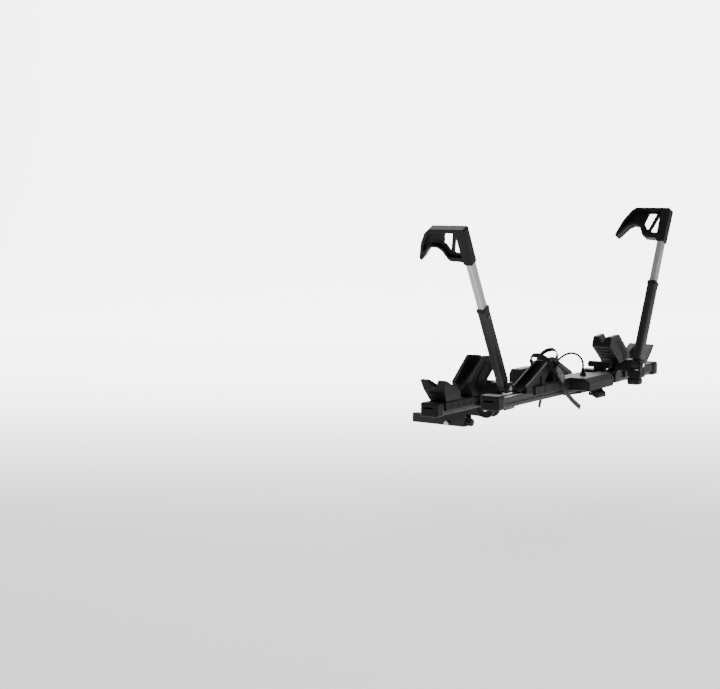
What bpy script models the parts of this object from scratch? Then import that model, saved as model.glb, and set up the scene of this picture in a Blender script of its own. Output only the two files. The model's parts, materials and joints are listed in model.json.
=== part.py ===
"""Hitch mounted rack for two bikes: a hitch bar, a tilting spine and two wheel trays.

Units are metres and +Z is up. The origin is the centre of the hitch bar's front face. +Y points
at the car, so the rack reaches out along -Y, and +X is the car's right. Each tray is described in
its own terms: u runs from the rack's middle towards the tray's front wheel end, v towards the car
and w up from the top of the beam. The inner tray's front wheel end is at -X, the outer's at +X.
"""

import math
from collections import namedtuple

import bmesh
import bpy
from mathutils import Matrix, Vector

GAP = 0.0004  # between pieces that touch
X, Y, Z = Vector((1, 0, 0)), Vector((0, 1, 0)), Vector((0, 0, 1))

# Hitch bar, neck and tilt pivot
HITCH = 0.0508
HITCH_WALL = 0.006
HITCH_LENGTH = 0.322
PLUG = 0.003
PIN_AT = (0.0, -0.228, -0.009)
PIN_RADIUS = 0.0079
KNOB_RADIUS, KNOB_LENGTH = 0.0215, 0.038
NECK_PLATE = 0.008
PIVOT = (0.0, -0.465, 0.086)
HUB_RADIUS = 0.036
HUB_WIDTH = HITCH - 0.0012

# Spine: a square tube that climbs away from the car, notched for the two beams that lie in it
SPINE_WIDTH, SPINE_WALL = 0.060, 0.004
CLAMP_FLOOR = 0.006
CLAMP_FOOT = ((-0.612, 0.122), (-0.594, 0.092), (-0.580, 0.086), (-0.573, 0.090))
SPINE_START, SPINE_END = -0.515, -1.046
SPINE_TOP_AT_INNER = 0.202
SPINE_SLOPE = 0.185

# Trays
Tray = namedtuple("Tray", "name y top side front rear arm lean reach tail")
TRAYS = (
    Tray("inner", -0.617, 0.2065, -1, 0.820, 0.900, 0.393, math.radians(27.3), 0.700, (-0.172, -0.120)),
    Tray("outer", -0.967, 0.2713, 1, 0.890, 0.850, 0.366, math.radians(23.5), 0.680, (-0.040, -0.130)),
)
BEAM_WIDTH, BEAM_HEIGHT = 0.076, 0.050
CAP_LENGTH, CAP_WIDTH, CAP_HEIGHT, CAP_MIDDLE = 0.078, 0.098, 0.070, -0.019

# Wheels that the trays are made for
WHEEL_RADIUS = 0.3735
FRONT_HUB = (0.6065, 0.4145)
REAR_HUB = (-0.5943, 0.3735)

# Wheel arm: its pivot is beside the beam, on the side away from the car
ARM_V, ARM_W = -0.165, 0.056
ARM_TUBE = (0.042, 0.054)
ARM_WALL = 0.003
ARM_START, ARM_END, COLLAR_END = 0.027, 0.440, 0.458
INNER_TUBE = (0.032, 0.044)
INNER_WALL = 0.0025
INNER_START, SOCKET_DEPTH = 0.300, 0.060
BUTTON_AT = 0.405
BOLT_RADIUS, BOLT_HOLE = 0.006, 0.0065

# Hook over the front wheel, as (v, height above the end of its socket)
HOOK_DEPTH, HOOK_WEB = 0.050, 0.012
HOOK_ARCH = (
    (-0.070, 0.021), (-0.058, 0.031), (-0.036, 0.076), (-0.012, 0.092),
    (0.012, 0.093), (0.030, 0.083), (0.086, 0.024),
)
HOOK_REST = (
    (0.094, 0.020), (0.101, 0.034), (0.069, 0.116), (0.033, 0.170), (0.006, 0.190),
    (-0.184, 0.190), (-0.190, 0.183), (-0.187, 0.0), (-0.143, 0.0), (-0.139, 0.017),
)
HOOK_POCKET = (
    (-0.140, 0.172), (0.000, 0.172), (0.020, 0.156), (0.054, 0.106), (0.080, 0.052),
    (0.037, 0.096), (0.014, 0.108), (-0.016, 0.106), (-0.046, 0.090), (-0.068, 0.044),
    (-0.140, 0.038),
)
HOOK_WINDOWS = (
    ((-0.068, 0.162), (-0.114, 0.162), (-0.082, 0.073), (-0.073, 0.070), (-0.050, 0.104)),
    ((-0.129, 0.152), (-0.138, 0.152), (-0.138, 0.052), (-0.093, 0.058)),
)
PAD_THICKNESS = 0.004

# Rear wheel holder and its strap, which runs in a plane leaning back over the wheel
HOLDER_HALF = 0.040
STRAP_AT = (-0.315, 0.088)
STRAP_LEAN = math.radians(40)
STRAP_HALF, STRAP_WIDTH, STRAP_THICKNESS = 0.052, 0.025, 0.003
STRAP_RISE, STRAP_ARCH = 0.050, 0.068
LEVER_PIVOT = 0.010
LEVER_OUT = 0.0675

# Rear cover, tilt handle and cable
COVER_HALF = 0.19
COVER_SIDE = -0.12
HANDLE_PIVOT = (0.0, -1.084, 0.224)
HANDLE_PIN = 0.003
GLAND_AT = (0.0, -1.011, 0.3004)
CABLE_RADIUS = 0.0055
CABLE_STEP = 0.026
CABLE_ROUTE = (
    (0.000, -1.011, 0.3352), (0.000, -1.011, 0.348), (0.000, -1.009, 0.366), (-0.003, -1.001, 0.386),
    (-0.009, -0.985, 0.402), (-0.017, -0.962, 0.410), (-0.026, -0.936, 0.406), (-0.034, -0.911, 0.391),
    (-0.041, -0.889, 0.369), (-0.046, -0.869, 0.343), (-0.050, -0.849, 0.316), (-0.053, -0.827, 0.291),
    (-0.055, -0.801, 0.269), (-0.056, -0.771, 0.2505), (-0.056, -0.738, 0.236), (-0.057, -0.705, 0.2245),
    (-0.061, -0.676, 0.2158), (-0.075, -0.652, 0.2128), (-0.103, -0.642, 0.2124), (-0.134, -0.642, 0.2124),
    (-0.166, -0.648, 0.2124), (-0.198, -0.650, 0.2124), (-0.228, -0.638, 0.2124), (-0.247, -0.612, 0.2124),
    (-0.246, -0.581, 0.2124), (-0.225, -0.557, 0.2124), (-0.194, -0.548, 0.2124), (-0.163, -0.556, 0.2124),
    (-0.139, -0.577, 0.2124), (-0.118, -0.596, 0.2124), (-0.096, -0.607, 0.2124),
)
LOCK_RADIUS, LOCK_LENGTH = 0.013, 0.062

COLOURS = {  # base colour, roughness, metallic
    "black_paint": ((0.020, 0.020, 0.022), 0.42, 0.1),
    "black_plastic": ((0.017, 0.017, 0.018), 0.58, 0.0),
    "black_anodised": ((0.026, 0.026, 0.028), 0.40, 0.6),
    "silver_anodised": ((0.48, 0.48, 0.49), 0.34, 0.9),
    "rubber": ((0.012, 0.012, 0.012), 0.80, 0.0),
    "grey_plastic": ((0.10, 0.10, 0.105), 0.50, 0.0),
    "zinc": ((0.62, 0.62, 0.63), 0.28, 1.0),
    "strap_black": ((0.014, 0.014, 0.015), 0.50, 0.0),
}


# Scene, materials and basic shapes

def clear_scene():
    for item in list(bpy.data.objects):
        bpy.data.objects.remove(item)


def collection(name):
    made = bpy.data.collections.new(name)
    bpy.context.scene.collection.children.link(made)
    return made


def material(name, colour_name):
    colour, roughness, metallic = COLOURS[colour_name]
    made = bpy.data.materials.new(name)
    made.use_nodes = True
    shader = made.node_tree.nodes["Principled BSDF"]
    shader.inputs["Base Color"].default_value = (*colour, 1.0)
    shader.inputs["Roughness"].default_value = roughness
    shader.inputs["Metallic"].default_value = metallic
    return made


def place(name, mesh, frame, colour):
    """A part of the rack, or a cutter where colour is None."""
    item = bpy.data.objects.new(name, mesh)
    item.matrix_world = frame
    if colour is None:
        CUTTERS.objects.link(item)
        item.hide_render = True
        item.display_type = "WIRE"
    else:
        RACK.objects.link(item)
        mesh.materials.append(material(name + "_finish", colour))
    return item


def plane(origin, right, up):
    """A frame whose x and y axes are right and up, and whose z axis is square to both."""
    right, up = Vector(right).normalized(), Vector(up).normalized()
    frame = Matrix((right, up, right.cross(up))).transposed().to_4x4()
    frame.translation = origin
    return frame


def soften(item, width, segments=2, angle=36):
    bevel = item.modifiers.new("rounded edges", "BEVEL")
    bevel.width = width
    bevel.segments = segments
    bevel.limit_method = "ANGLE"
    bevel.angle_limit = math.radians(angle)
    return item


def box(name, size, centre, colour=None, bevel=0.0, right=X, up=Y):
    shape = bmesh.new()
    bmesh.ops.create_cube(shape, size=1.0, matrix=Matrix.Diagonal((*size, 1.0)))
    mesh = bpy.data.meshes.new(name)
    shape.to_mesh(mesh)
    shape.free()
    item = place(name, mesh, plane(centre, right, up), colour)
    return soften(item, bevel) if bevel else item


def rod(name, radius, length, centre, axis, colour=None, sides=20, bevel=0.0):
    shape = bmesh.new()
    bmesh.ops.create_cone(
        shape, cap_ends=True, segments=sides, radius1=radius, radius2=radius, depth=length
    )
    mesh = bpy.data.meshes.new(name)
    shape.to_mesh(mesh)
    shape.free()
    axis = Vector(axis).normalized()
    helper = X if abs(axis.x) < 0.9 else Y
    right = helper.cross(axis)
    item = place(name, mesh, plane(centre, right, axis.cross(right)), colour)
    shade_round(item)
    return soften(item, bevel) if bevel else item


def shade_round(item):
    item.data.shade_smooth()
    item.data.set_sharp_from_angle(angle=math.radians(40))


def sheet(name, outlines, thickness, frame, colour=None, bevel=0.0, segments=2):
    """A flat outline, with holes where there are more outlines, thick both ways from its plane."""
    curve = bpy.data.curves.new(name, "CURVE")
    curve.dimensions = "2D"
    curve.fill_mode = "BOTH"
    curve.extrude = thickness / 2
    for points in outlines:
        spline = curve.splines.new("POLY")
        spline.points.add(len(points) - 1)
        for point, (across, up) in zip(spline.points, points):
            point.co = (across, up, 0.0, 1.0)
        spline.use_cyclic_u = True
    mesh = solid_from(curve, name)
    merge_flats(mesh)
    item = place(name, mesh, frame, colour)
    return soften(item, bevel, segments) if bevel else item


def merge_flats(mesh):
    """Joins the triangles of each flat face into one face, so that a bevel sees clean edges."""
    shape = bmesh.new()
    shape.from_mesh(mesh)
    bmesh.ops.dissolve_limit(
        shape, angle_limit=math.radians(0.5), verts=shape.verts, edges=shape.edges
    )
    shape.to_mesh(mesh)
    shape.free()


def solid_from(curve, name):
    """A curve's closed mesh, with its caps welded on."""
    guide = bpy.data.objects.new(name + "_curve", curve)
    bpy.context.scene.collection.objects.link(guide)
    evaluated = guide.evaluated_get(bpy.context.evaluated_depsgraph_get())
    mesh = bpy.data.meshes.new_from_object(evaluated)
    mesh.materials.clear()
    shape = bmesh.new()
    shape.from_mesh(mesh)
    bmesh.ops.remove_doubles(shape, verts=shape.verts, dist=0.00001)
    bmesh.ops.recalc_face_normals(shape, faces=shape.faces)
    shape.to_mesh(mesh)
    shape.free()
    bpy.data.objects.remove(guide)
    mesh.name = name
    return mesh


def turned(name, profile, frame, colour=None, steps=20):
    """A profile of (radius, height) points, top to bottom, turned about the frame's z axis."""
    shape = bmesh.new()
    ring = [shape.verts.new((radius, 0.0, height)) for radius, height in profile]
    for above, below in zip(ring, ring[1:]):
        shape.edges.new((above, below))
    mesh = bpy.data.meshes.new(name)
    shape.to_mesh(mesh)
    shape.free()
    item = place(name, mesh, frame, colour)
    screw = item.modifiers.new("turned", "SCREW")
    screw.axis = "Z"
    screw.steps = screw.render_steps = steps
    screw.use_merge_vertices = True
    screw.merge_threshold = 0.0001
    screw.use_smooth_shade = False
    return item


def carve(item, *tools, operation="DIFFERENCE"):
    for tool in tools:
        boolean = item.modifiers.new(tool.name, "BOOLEAN")
        boolean.operation = operation
        boolean.solver = "EXACT"
        boolean.object = tool
    return item


def add(item, *tools):
    return carve(item, *tools, operation="UNION")


def mirrored(half):
    """A whole outline from its right half, listed top to bottom."""
    return [*half, *((-across, up) for across, up in reversed(half))]


def rounded(width, height, radius, steps=2):
    """A rectangle's outline with round corners."""
    points = []
    for number, (sx, sy) in enumerate(((1, 1), (-1, 1), (-1, -1), (1, -1))):
        for step in range(steps + 1):
            angle = math.pi / 2 * (number + step / steps)
            points.append((
                sx * (width / 2 - radius) + radius * math.cos(angle),
                sy * (height / 2 - radius) + radius * math.sin(angle),
            ))
    return points


def ribbon(points, width):
    """The outline of a band of constant width along a line of points."""
    left, right = [], []
    for number, (x, y) in enumerate(points):
        before, after = points[max(number - 1, 0)], points[min(number + 1, len(points) - 1)]
        way = Vector((after[0] - before[0], after[1] - before[1])).normalized()
        left.append((x - way.y * width / 2, y + way.x * width / 2))
        right.append((x + way.y * width / 2, y - way.x * width / 2))
    return left + right[::-1]


def smooth_route(points, spacing):
    """Evenly spaced points on a smooth curve through the given ones."""
    points = [Vector(p) for p in points]
    ends = [2 * points[0] - points[1], *points, 2 * points[-1] - points[-2]]
    fine = []
    for before, start, end, after in zip(ends, ends[1:], ends[2:], ends[3:]):
        for step in range(16):
            t = step / 16
            fine.append(0.5 * (
                2 * start + (end - before) * t
                + (2 * before - 5 * start + 4 * end - after) * t ** 2
                + (3 * start - before - 3 * end + after) * t ** 3
            ))
    fine.append(points[-1])
    steps = [(b - a).length for a, b in zip(fine, fine[1:])]
    count = round(sum(steps) / spacing)
    chosen, travelled, wanted = [fine[0]], 0.0, 1
    for start, end, length in zip(fine, fine[1:], steps):
        while wanted < count and travelled + length >= wanted * sum(steps) / count:
            share = (wanted * sum(steps) / count - travelled) / length
            chosen.append(start.lerp(end, share))
            wanted += 1
        travelled += length
    return [*chosen, fine[-1]]


def joint_empty(name, position):
    empty = bpy.data.objects.new(name, None)
    empty.matrix_world = Matrix.Translation(position)
    empty.empty_display_size = 0.03
    RACK.objects.link(empty)
    return empty


def hang(parent, *items):
    for item in items:
        item.parent = parent
        item.matrix_parent_inverse = parent.matrix_world.inverted()


# Hitch bar, neck and tilt pivot

def hitch_bar():
    middle = -PLUG - GAP - HITCH_LENGTH / 2
    inside = HITCH - 2 * HITCH_WALL
    bar = sheet(
        "hitch_bar", [rounded(HITCH, HITCH, 0.004, 1), rounded(inside, inside, 0.002, 1)],
        HITCH_LENGTH, plane((0, middle, 0), X, Z), "black_paint",
    )
    carve(bar, rod("pin_hole", PIN_RADIUS + 0.0004, 0.1, PIN_AT, X))
    plug = box("hitch_end_plug", (HITCH, PLUG, HITCH), (0, -PLUG / 2, 0), "black_plastic", right=X, up=Y)
    stub = box("plug_stub", (inside - 0.003, 0.016, inside - 0.003), (0, -0.010, 0))
    add(plug, stub)


def hitch_pin():
    x_head = -0.041
    frame = plane(PIN_AT, Y, Z)
    turned("hitch_pin", (
        (0.0, 0.056), (PIN_RADIUS - 0.001, 0.056), (PIN_RADIUS, 0.055), (PIN_RADIUS, x_head),
        (0.0125, x_head), (0.0125, x_head - 0.006), (0.009, x_head - 0.009), (0.0, x_head - 0.009),
    ), frame, "zinc", 16)
    lock = turned("hitch_pin_lock", (
        (0.0, 0.068), (0.011, 0.068), (0.014, 0.064), (0.014, 0.0345), (0.0, 0.0345),
    ), frame, "black_plastic", 16)
    carve(lock, rod("pin_socket", PIN_RADIUS + 0.0004, 0.040, (0.0365, *PIN_AT[1:]), X))


def anti_wobble_knob():
    start = -PLUG - GAP - HITCH_LENGTH
    frame = plane((0, start, 0), Z, X)
    lobes = [
        (
            (KNOB_RADIUS - 0.0016 + 0.0016 * math.cos(8 * angle)) * math.cos(angle),
            (KNOB_RADIUS - 0.0016 + 0.0016 * math.cos(8 * angle)) * math.sin(angle),
        )
        for angle in (2 * math.pi * step / 48 for step in range(48))
    ]
    knob = sheet(
        "anti_wobble_knob", [lobes], KNOB_LENGTH, plane((0, start - 0.003 - KNOB_LENGTH / 2, 0), X, Z),
        "black_plastic",
    )
    soften(knob, 0.004, 2, 50)
    carve(knob, rod("knob_bore", BOLT_RADIUS + 0.0004, 0.040, (0, start - 0.003, 0), Y))
    screw = turned("anti_wobble_screw", (
        (0.0, 0.078), (0.004, 0.078), (BOLT_RADIUS, 0.075), (BOLT_RADIUS, -0.020), (0.0, -0.020),
    ), frame, "zinc", 12)
    hang(joint_empty("anti_wobble_axis", (0, start, 0)), knob, screw)


def neck():
    """Two side plates, joined by a floor plate, from the hitch bar's flanks up to the pivot."""
    y, z = PIVOT[1:]
    around = [
        (y + 0.050 * math.cos(angle), z + 0.050 * math.sin(angle))
        for angle in (math.radians(72 + 18 * step) for step in range(13))
    ]
    outline = [
        (-0.338, 0.003), (-0.132, 0.003), (-0.132, 0.018), (-0.160, 0.034), (-0.400, 0.128),
        *around, (-0.420, 0.043), (-0.345, 0.046), (-0.338, 0.040),
    ]
    outside = HITCH / 2 + GAP + NECK_PLATE
    cheeks = sheet("neck", [outline], 2 * outside, plane((0, 0, 0), Y, Z), "black_paint", 0.002)
    hollow = box("neck_hollow", (HITCH + 2 * GAP, 0.50, 0.30), (0, -0.345, 0.08))
    pin = rod("pivot_hole", 0.0085, 0.1, PIVOT, X)
    carve(cheeks, hollow, pin)
    floor = box("neck_floor", (HITCH + 0.006, 0.135, 0.006), (0, -0.232, 0.0293))
    add(cheeks, floor)


def tilt_pivot_bolt():
    half = HITCH / 2 + NECK_PLATE + 0.001
    turned("tilt_pivot_bolt", (
        (0.0, half + 0.010), (0.011, half + 0.010), (0.014, half + 0.007), (0.014, half),
        (0.008, half), (0.008, -half), (0.014, -half), (0.014, -half - 0.007),
        (0.011, -half - 0.010), (0.0, -half - 0.010),
    ), plane(PIVOT, Y, Z), "zinc", 16)


# Spine and what it carries

def spine_direction():
    return Vector((0.0, -1.0, SPINE_SLOPE)).normalized()


def spine_point(y, below_top):
    """A point on the spine's middle plane, a given distance square to its top face."""
    along = spine_direction()
    down = along.cross(X)
    down = down if down.z < 0 else -down
    top = Vector((0.0, y, SPINE_TOP_AT_INNER + SPINE_SLOPE * (TRAYS[0].y - y)))
    return top + down * below_top


def spine():
    middle = (SPINE_START + SPINE_END) / 2
    length = (SPINE_START - SPINE_END) * math.hypot(1.0, SPINE_SLOPE)
    inside = SPINE_WIDTH - 2 * SPINE_WALL
    along = spine_direction()
    tube = sheet(
        "spine", [rounded(SPINE_WIDTH, SPINE_WIDTH, 0.006, 2), rounded(inside, inside, 0.001, 1)],
        length, plane(spine_point(middle, SPINE_WIDTH / 2), X, along.cross(X)), "black_paint",
    )
    for tray in TRAYS:
        bottom = tray.top - BEAM_HEIGHT - GAP
        notch = box(
            tray.name + "_beam_space", (0.2, BEAM_WIDTH + 2 * GAP, 0.08), (0, tray.y, bottom + 0.04)
        )
        carve(tube, notch)


def pivot_housing():
    """The hub on the tilt pivot, with the knee and the tongue that carry the spine's front end."""
    hub = rod("pivot_housing", HUB_RADIUS, HUB_WIDTH, PIVOT, X, "black_paint", 28, 0.002)
    outline = [
        (-0.432, 0.100), (-0.470, 0.150), (-0.5144, 0.180), (-0.5254, 0.1230), (-0.569, 0.1310),
        (-0.569, 0.104), (-0.535, 0.100), (-0.500, 0.094),
        (-0.488, 0.0585), (-0.465, 0.055),
    ]
    knee = sheet("housing_knee", [outline], HUB_WIDTH - 0.0016, plane((0, 0, 0), Y, Z), None, 0.002)
    inside = SPINE_WIDTH - 2 * SPINE_WALL - 0.0012
    start, end = (spine_point(y, SPINE_WIDTH / 2) for y in (SPINE_START + 0.004, SPINE_START - 0.030))
    tongue = box(
        "housing_tongue", ((end - start).length, min(inside, HUB_WIDTH) - 0.003, inside),
        (start + end) / 2, right=spine_direction(), up=X,
    )
    add(hub, knee, tongue)
    carve(hub, rod("housing_bore", 0.0084, 0.1, PIVOT, X))


def spine_clamp(tray, foot=()):
    """A cradle under the spine, with a cheek on each side up to the beam, and a foot below."""
    level = tray.top - BEAM_HEIGHT - GAP
    front, rear = tray.y + 0.046, tray.y - 0.046
    floor = SPINE_WIDTH + CLAMP_FLOOR
    outline = [
        (tray.y - 0.038, level), (rear, level - 0.004), (rear, spine_point(rear, floor).z), *foot,
        (front, spine_point(front, floor).z), (front, level - 0.010), (tray.y + 0.038, level),
    ]
    clamp = sheet(
        tray.name + "_tray_clamp", [outline], SPINE_WIDTH + 0.020, plane((0, 0, 0), Y, Z),
        "black_paint", 0.002,
    )
    carve(clamp, spine_space(tray.name + "_spine_space", spine_point(tray.y, GAP)))


def spine_space(name, centre):
    """Room for the spine, thick enough to clear it whichever of its faces the centre is on."""
    return box(name, (0.3, SPINE_WIDTH + 2 * GAP, 2 * SPINE_WIDTH), centre, right=spine_direction(), up=X)


def rear_cover():
    tray = TRAYS[1]
    rear, front = -1.112, tray.y + BEAM_WIDTH / 2 + 0.004
    beam_rear, beam_top = tray.y - BEAM_WIDTH / 2 - 0.001, tray.top + GAP
    top = GLAND_AT[2] - GAP
    outline = [
        (rear, 0.240), (beam_rear, 0.232), (beam_rear, beam_top), (front, beam_top),
        (front, top - 0.010), (front - 0.010, top), (rear + 0.030, top), (rear, top - 0.018),
    ]
    cover = sheet("rear_cover", [outline], 2 * COVER_HALF, plane((0, 0, 0), Y, Z), "black_plastic")
    slant, taper = math.radians(38), math.radians(16)
    corner = box(
        "cover_corner", (0.10, 0.30, 0.2), (COVER_HALF + 0.004, -1.126, 0.27),
        right=Vector((math.cos(slant), -math.sin(slant), 0)),
        up=Vector((math.sin(slant), math.cos(slant), 0)),
    )
    over_beam = box("cover_end", (0.14, 0.09, 0.2), (0.195, beam_rear + 0.0445, 0.27))
    beside = box("cover_beside", (0.12, 0.20, 0.2), (COVER_SIDE - 0.06, beam_rear - 0.10, 0.27))
    carve(cover, corner, over_beam, beside)
    for side in (-1, 1):
        carve(cover, box(
            f"cover_taper_{side}", (0.20, 0.2, 0.06), (side * 0.175, -1.05, 0.224),
            right=Vector((math.cos(taper), 0, side * math.sin(taper))), up=Y,
        ))
    spine_top = spine_point(SPINE_END, SPINE_WIDTH - GAP) - spine_direction() * (0.15 - 2 * GAP)
    carve(cover, spine_space("cover_hollow", spine_top))
    x, y, z = HANDLE_PIVOT
    hole = rod("lug_hole", HANDLE_PIN + 0.0005, 0.2, HANDLE_PIVOT, X, None, 12)
    for side in (-1, 1):
        add(cover, box(f"cover_lug_{side}", (0.010, 0.024, 0.042), (x + side * 0.0525, y, z + 0.007)))
    carve(cover, hole)


def tilt_handle():
    """A pull under the cover, with a slot for the fingers behind its rear bar."""
    x, y, z = HANDLE_PIVOT
    side_view = [
        (0.012, 0.008), (-0.010, 0.008), (-0.030, -0.002), (-0.036, -0.010), (-0.036, -0.026),
        (-0.028, -0.029), (0.012, -0.009),
    ]
    outline = [(y + behind, z + up) for behind, up in side_view]
    handle = sheet("tilt_handle", [outline], 0.090, plane((x, 0, 0), Y, Z), "black_plastic", 0.003)
    for side in (-1, 1):
        corner = box(
            f"handle_corner_{side}", (0.03, 0.06, 0.08), (x + side * 0.0545, y - 0.0415, z),
            right=Vector((math.cos(math.radians(35)), -side * math.sin(math.radians(35)), 0)),
            up=Vector((side * math.sin(math.radians(35)), math.cos(math.radians(35)), 0)),
        )
        carve(handle, corner)
    grip = box("handle_grip_space", (0.052, 0.014, 0.08), (x, y - 0.0180, z))
    hole = rod("handle_pin_hole", HANDLE_PIN + 0.0005, 0.2, HANDLE_PIVOT, X, None, 12)
    carve(handle, grip, hole)
    hang(joint_empty("tilt_handle_axis", HANDLE_PIVOT), handle)
    rod("tilt_handle_pin", HANDLE_PIN, 0.116, HANDLE_PIVOT, X, "zinc", 12)


def centre_block():
    tray = TRAYS[0]
    outline = [
        (-0.0378, GAP), (0.0378, GAP), (0.0378, 0.070), (0.026, 0.096), (-0.026, 0.096), (-0.0378, 0.070),
    ]
    sheet(
        "inner_centre_block", [outline], 0.160, plane((0.088, tray.y, tray.top), Y, Z),
        "black_plastic", 0.006,
    )


# The cable lock

def security_cable():
    turned("cable_gland", (
        (0.0, 0.034), (0.0085, 0.034), (0.0115, 0.014), (0.016, 0.010), (0.016, 0.0), (0.0, 0.0),
    ), plane(GLAND_AT, X, Y), "black_plastic", 16)
    route = smooth_route(CABLE_ROUTE, CABLE_STEP)
    curve = bpy.data.curves.new("security_cable", "CURVE")
    curve.dimensions = "3D"
    curve.bevel_depth = CABLE_RADIUS
    curve.bevel_resolution = 2
    curve.use_fill_caps = True
    spline = curve.splines.new("POLY")
    spline.points.add(len(route) - 1)
    for point, place_at in zip(spline.points, route):
        point.co = (*place_at, 1.0)
    cable = place("security_cable", solid_from(curve, "security_cable"), Matrix(), "rubber")
    shade_round(cable)
    end, way = route[-1], (route[-1] - route[-2]).normalized()
    level = Vector((way.x, way.y, 0)).normalized()
    centre = end + level * (LOCK_LENGTH / 2 + GAP)
    centre.z = TRAYS[0].top + LOCK_RADIUS + GAP
    rod("lock_head", LOCK_RADIUS, LOCK_LENGTH, centre, level, "zinc", 20, 0.002)


# Trays

def spot(tray, u, v, w):
    return Vector((tray.side * u, tray.y + v, tray.top + w))


def across(tray, u):
    """The plane of a cross-section, in v and w."""
    return plane(spot(tray, u, 0, 0), Y, Z)


def along(tray, v=0.0):
    """The plane of a side view, in side * u and w."""
    return plane(spot(tray, 0, v, 0), X, Z)


def from_side(tray, points):
    return [(tray.side * u, w) for u, w in points]


def wheel_space(tray, name, hub, flare):
    """The wheel and the room beside it: a thin lens that flares towards the hub."""
    edge = (
        (0.0, 0.040 + flare), (WHEEL_RADIUS - 0.085, 0.034 + flare), (WHEEL_RADIUS - 0.050, 0.030),
        (WHEEL_RADIUS - 0.028, 0.028), (WHEEL_RADIUS - 0.010, 0.018), (WHEEL_RADIUS, 0.006),
    )
    profile = [*edge, *((radius, -half) for radius, half in reversed(edge))]
    return turned(
        f"{tray.name}_{name}_space", profile, plane(spot(tray, hub[0], 0, hub[1]), X, -Z), None, 72
    )


def beam(tray):
    outside = mirrored([
        (0.012, -0.004), (0.012, 0.0), (0.035, 0.0), (0.038, -0.003), (0.038, -0.018), (0.034, -0.020),
        (0.034, -0.030), (0.038, -0.032), (0.038, -0.047), (0.035, -BEAM_HEIGHT),
    ])
    inside = mirrored([(0.030, -0.0075), (0.030, -0.0465)])
    front, rear = tray.front - CAP_LENGTH - GAP, tray.rear - CAP_LENGTH - GAP
    sheet(
        tray.name + "_beam", [outside, inside], front + rear, across(tray, (front - rear) / 2),
        "black_anodised",
    )


def end_cap(tray, name, end):
    """A moulded cap whose stub fills the beam's end. It is drawn from above, outer end first."""
    way = 1 if end > 0 else -1
    outline = mirrored([(0.041, 0.0), (0.049, -0.010), (0.049, -0.054), (0.0405, -CAP_LENGTH)])
    outward = X * tray.side * way
    frame = plane(spot(tray, end, 0, CAP_MIDDLE), outward.cross(Z) * -1, outward)
    cap = sheet(f"{tray.name}_{name}_cap", [outline], CAP_HEIGHT, frame, "black_plastic", 0.008)
    stub = box(
        f"{tray.name}_{name}_stub", (0.050, 0.0588, 0.0378),
        spot(tray, end - way * (CAP_LENGTH + 0.003), 0, -0.027),
    )
    add(cap, stub)
    slot = box(
        f"{tray.name}_{name}_slot", (0.044, 0.052, 0.009), spot(tray, end, 0, CAP_MIDDLE + 0.008)
    )
    dimple = rod(
        f"{tray.name}_{name}_dimple", 0.004, 0.012, spot(tray, end, -0.026, CAP_MIDDLE - 0.020), X, None, 10
    )
    carve(cap, slot, dimple)


def cradle_base(tray):
    """The moulding on the beam's front end: a sleeve, a deck and a raised bar at its inner end."""
    sleeve_half, sleeve_end = 0.049, tray.front - CAP_LENGTH - 0.004
    section = mirrored([
        (0.045, 0.014), (sleeve_half, 0.010), (sleeve_half, -0.030), (0.0386, -0.030), (0.0386, GAP),
    ])
    base = sheet(
        tray.name + "_cradle_base", [section], sleeve_end - 0.475, across(tray, (0.475 + sleeve_end) / 2),
        "black_plastic", 0.002,
    )
    deck = box(
        tray.name + "_deck", (0.230, 0.075, 0.0116), spot(tray, 0.375, 0, GAP + 0.0058)
    )
    web = box(tray.name + "_bar_web", (0.024, 0.066, 0.044), spot(tray, 0.278, 0, 0.030))
    bar = rod(tray.name + "_cradle_bar", 0.0165, 0.132, spot(tray, 0.278, 0, 0.0545), Y, None, 16)
    soften(bar, 0.004)
    add(base, deck, web, bar)


def inner_chock(tray):
    """The tall saddle ahead of the front wheel's lowest point, on the rack's middle side."""
    outline = from_side(tray, (
        (0.300, 0.197), (0.390, 0.205), (0.530, 0.084), (0.498, 0.0145), (0.425, 0.0145),
        (0.385, 0.066), (0.283, 0.148),
    ))
    chock = sheet(tray.name + "_inner_chock", [outline], 0.104, along(tray), "black_plastic", 0.003)
    carve(chock, wheel_space(tray, "front_inner", FRONT_HUB, 0.006))
    slope = Vector((tray.side * 0.102, 0, -0.082)).normalized()
    for number in range(3):
        share = 0.2 + 0.3 * number
        rib_gap = box(
            f"{tray.name}_rib_gap_{number}", (0.012, 0.062, 0.008),
            spot(tray, 0.283 + 0.102 * share, 0, 0.148 - 0.082 * share), right=slope, up=Y,
        )
        carve(chock, rib_gap)


def outer_chock(tray):
    """The low saddle at the front wheel's outer side, wider at its two tips than at its foot."""
    outline = from_side(tray, (
        (0.600, 0.0145), (0.620, 0.054), (0.700, 0.092), (0.770, 0.122), (0.783, 0.116),
        (0.770, 0.072), (0.733, 0.0145),
    ))
    chock = sheet(tray.name + "_outer_chock", [outline], 0.140, along(tray), "black_plastic")
    for vertex in chock.data.vertices:
        vertex.co.z *= 0.62 + 0.38 * min(vertex.co.y / 0.115, 1.0)
    soften(chock, 0.003)
    carve(chock, wheel_space(tray, "front_outer", FRONT_HUB, 0.022))


# Wheel arm

def arm_axis(tray):
    return Vector((tray.side * math.sin(tray.lean), 0.0, math.cos(tray.lean)))


def arm_spot(tray, distance):
    return spot(tray, tray.arm, ARM_V, ARM_W) + arm_axis(tray) * distance


def arm_section(tray, distance):
    """The plane square to the arm, with x along v."""
    return plane(arm_spot(tray, distance), Y, arm_axis(tray).cross(Y))


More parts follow.
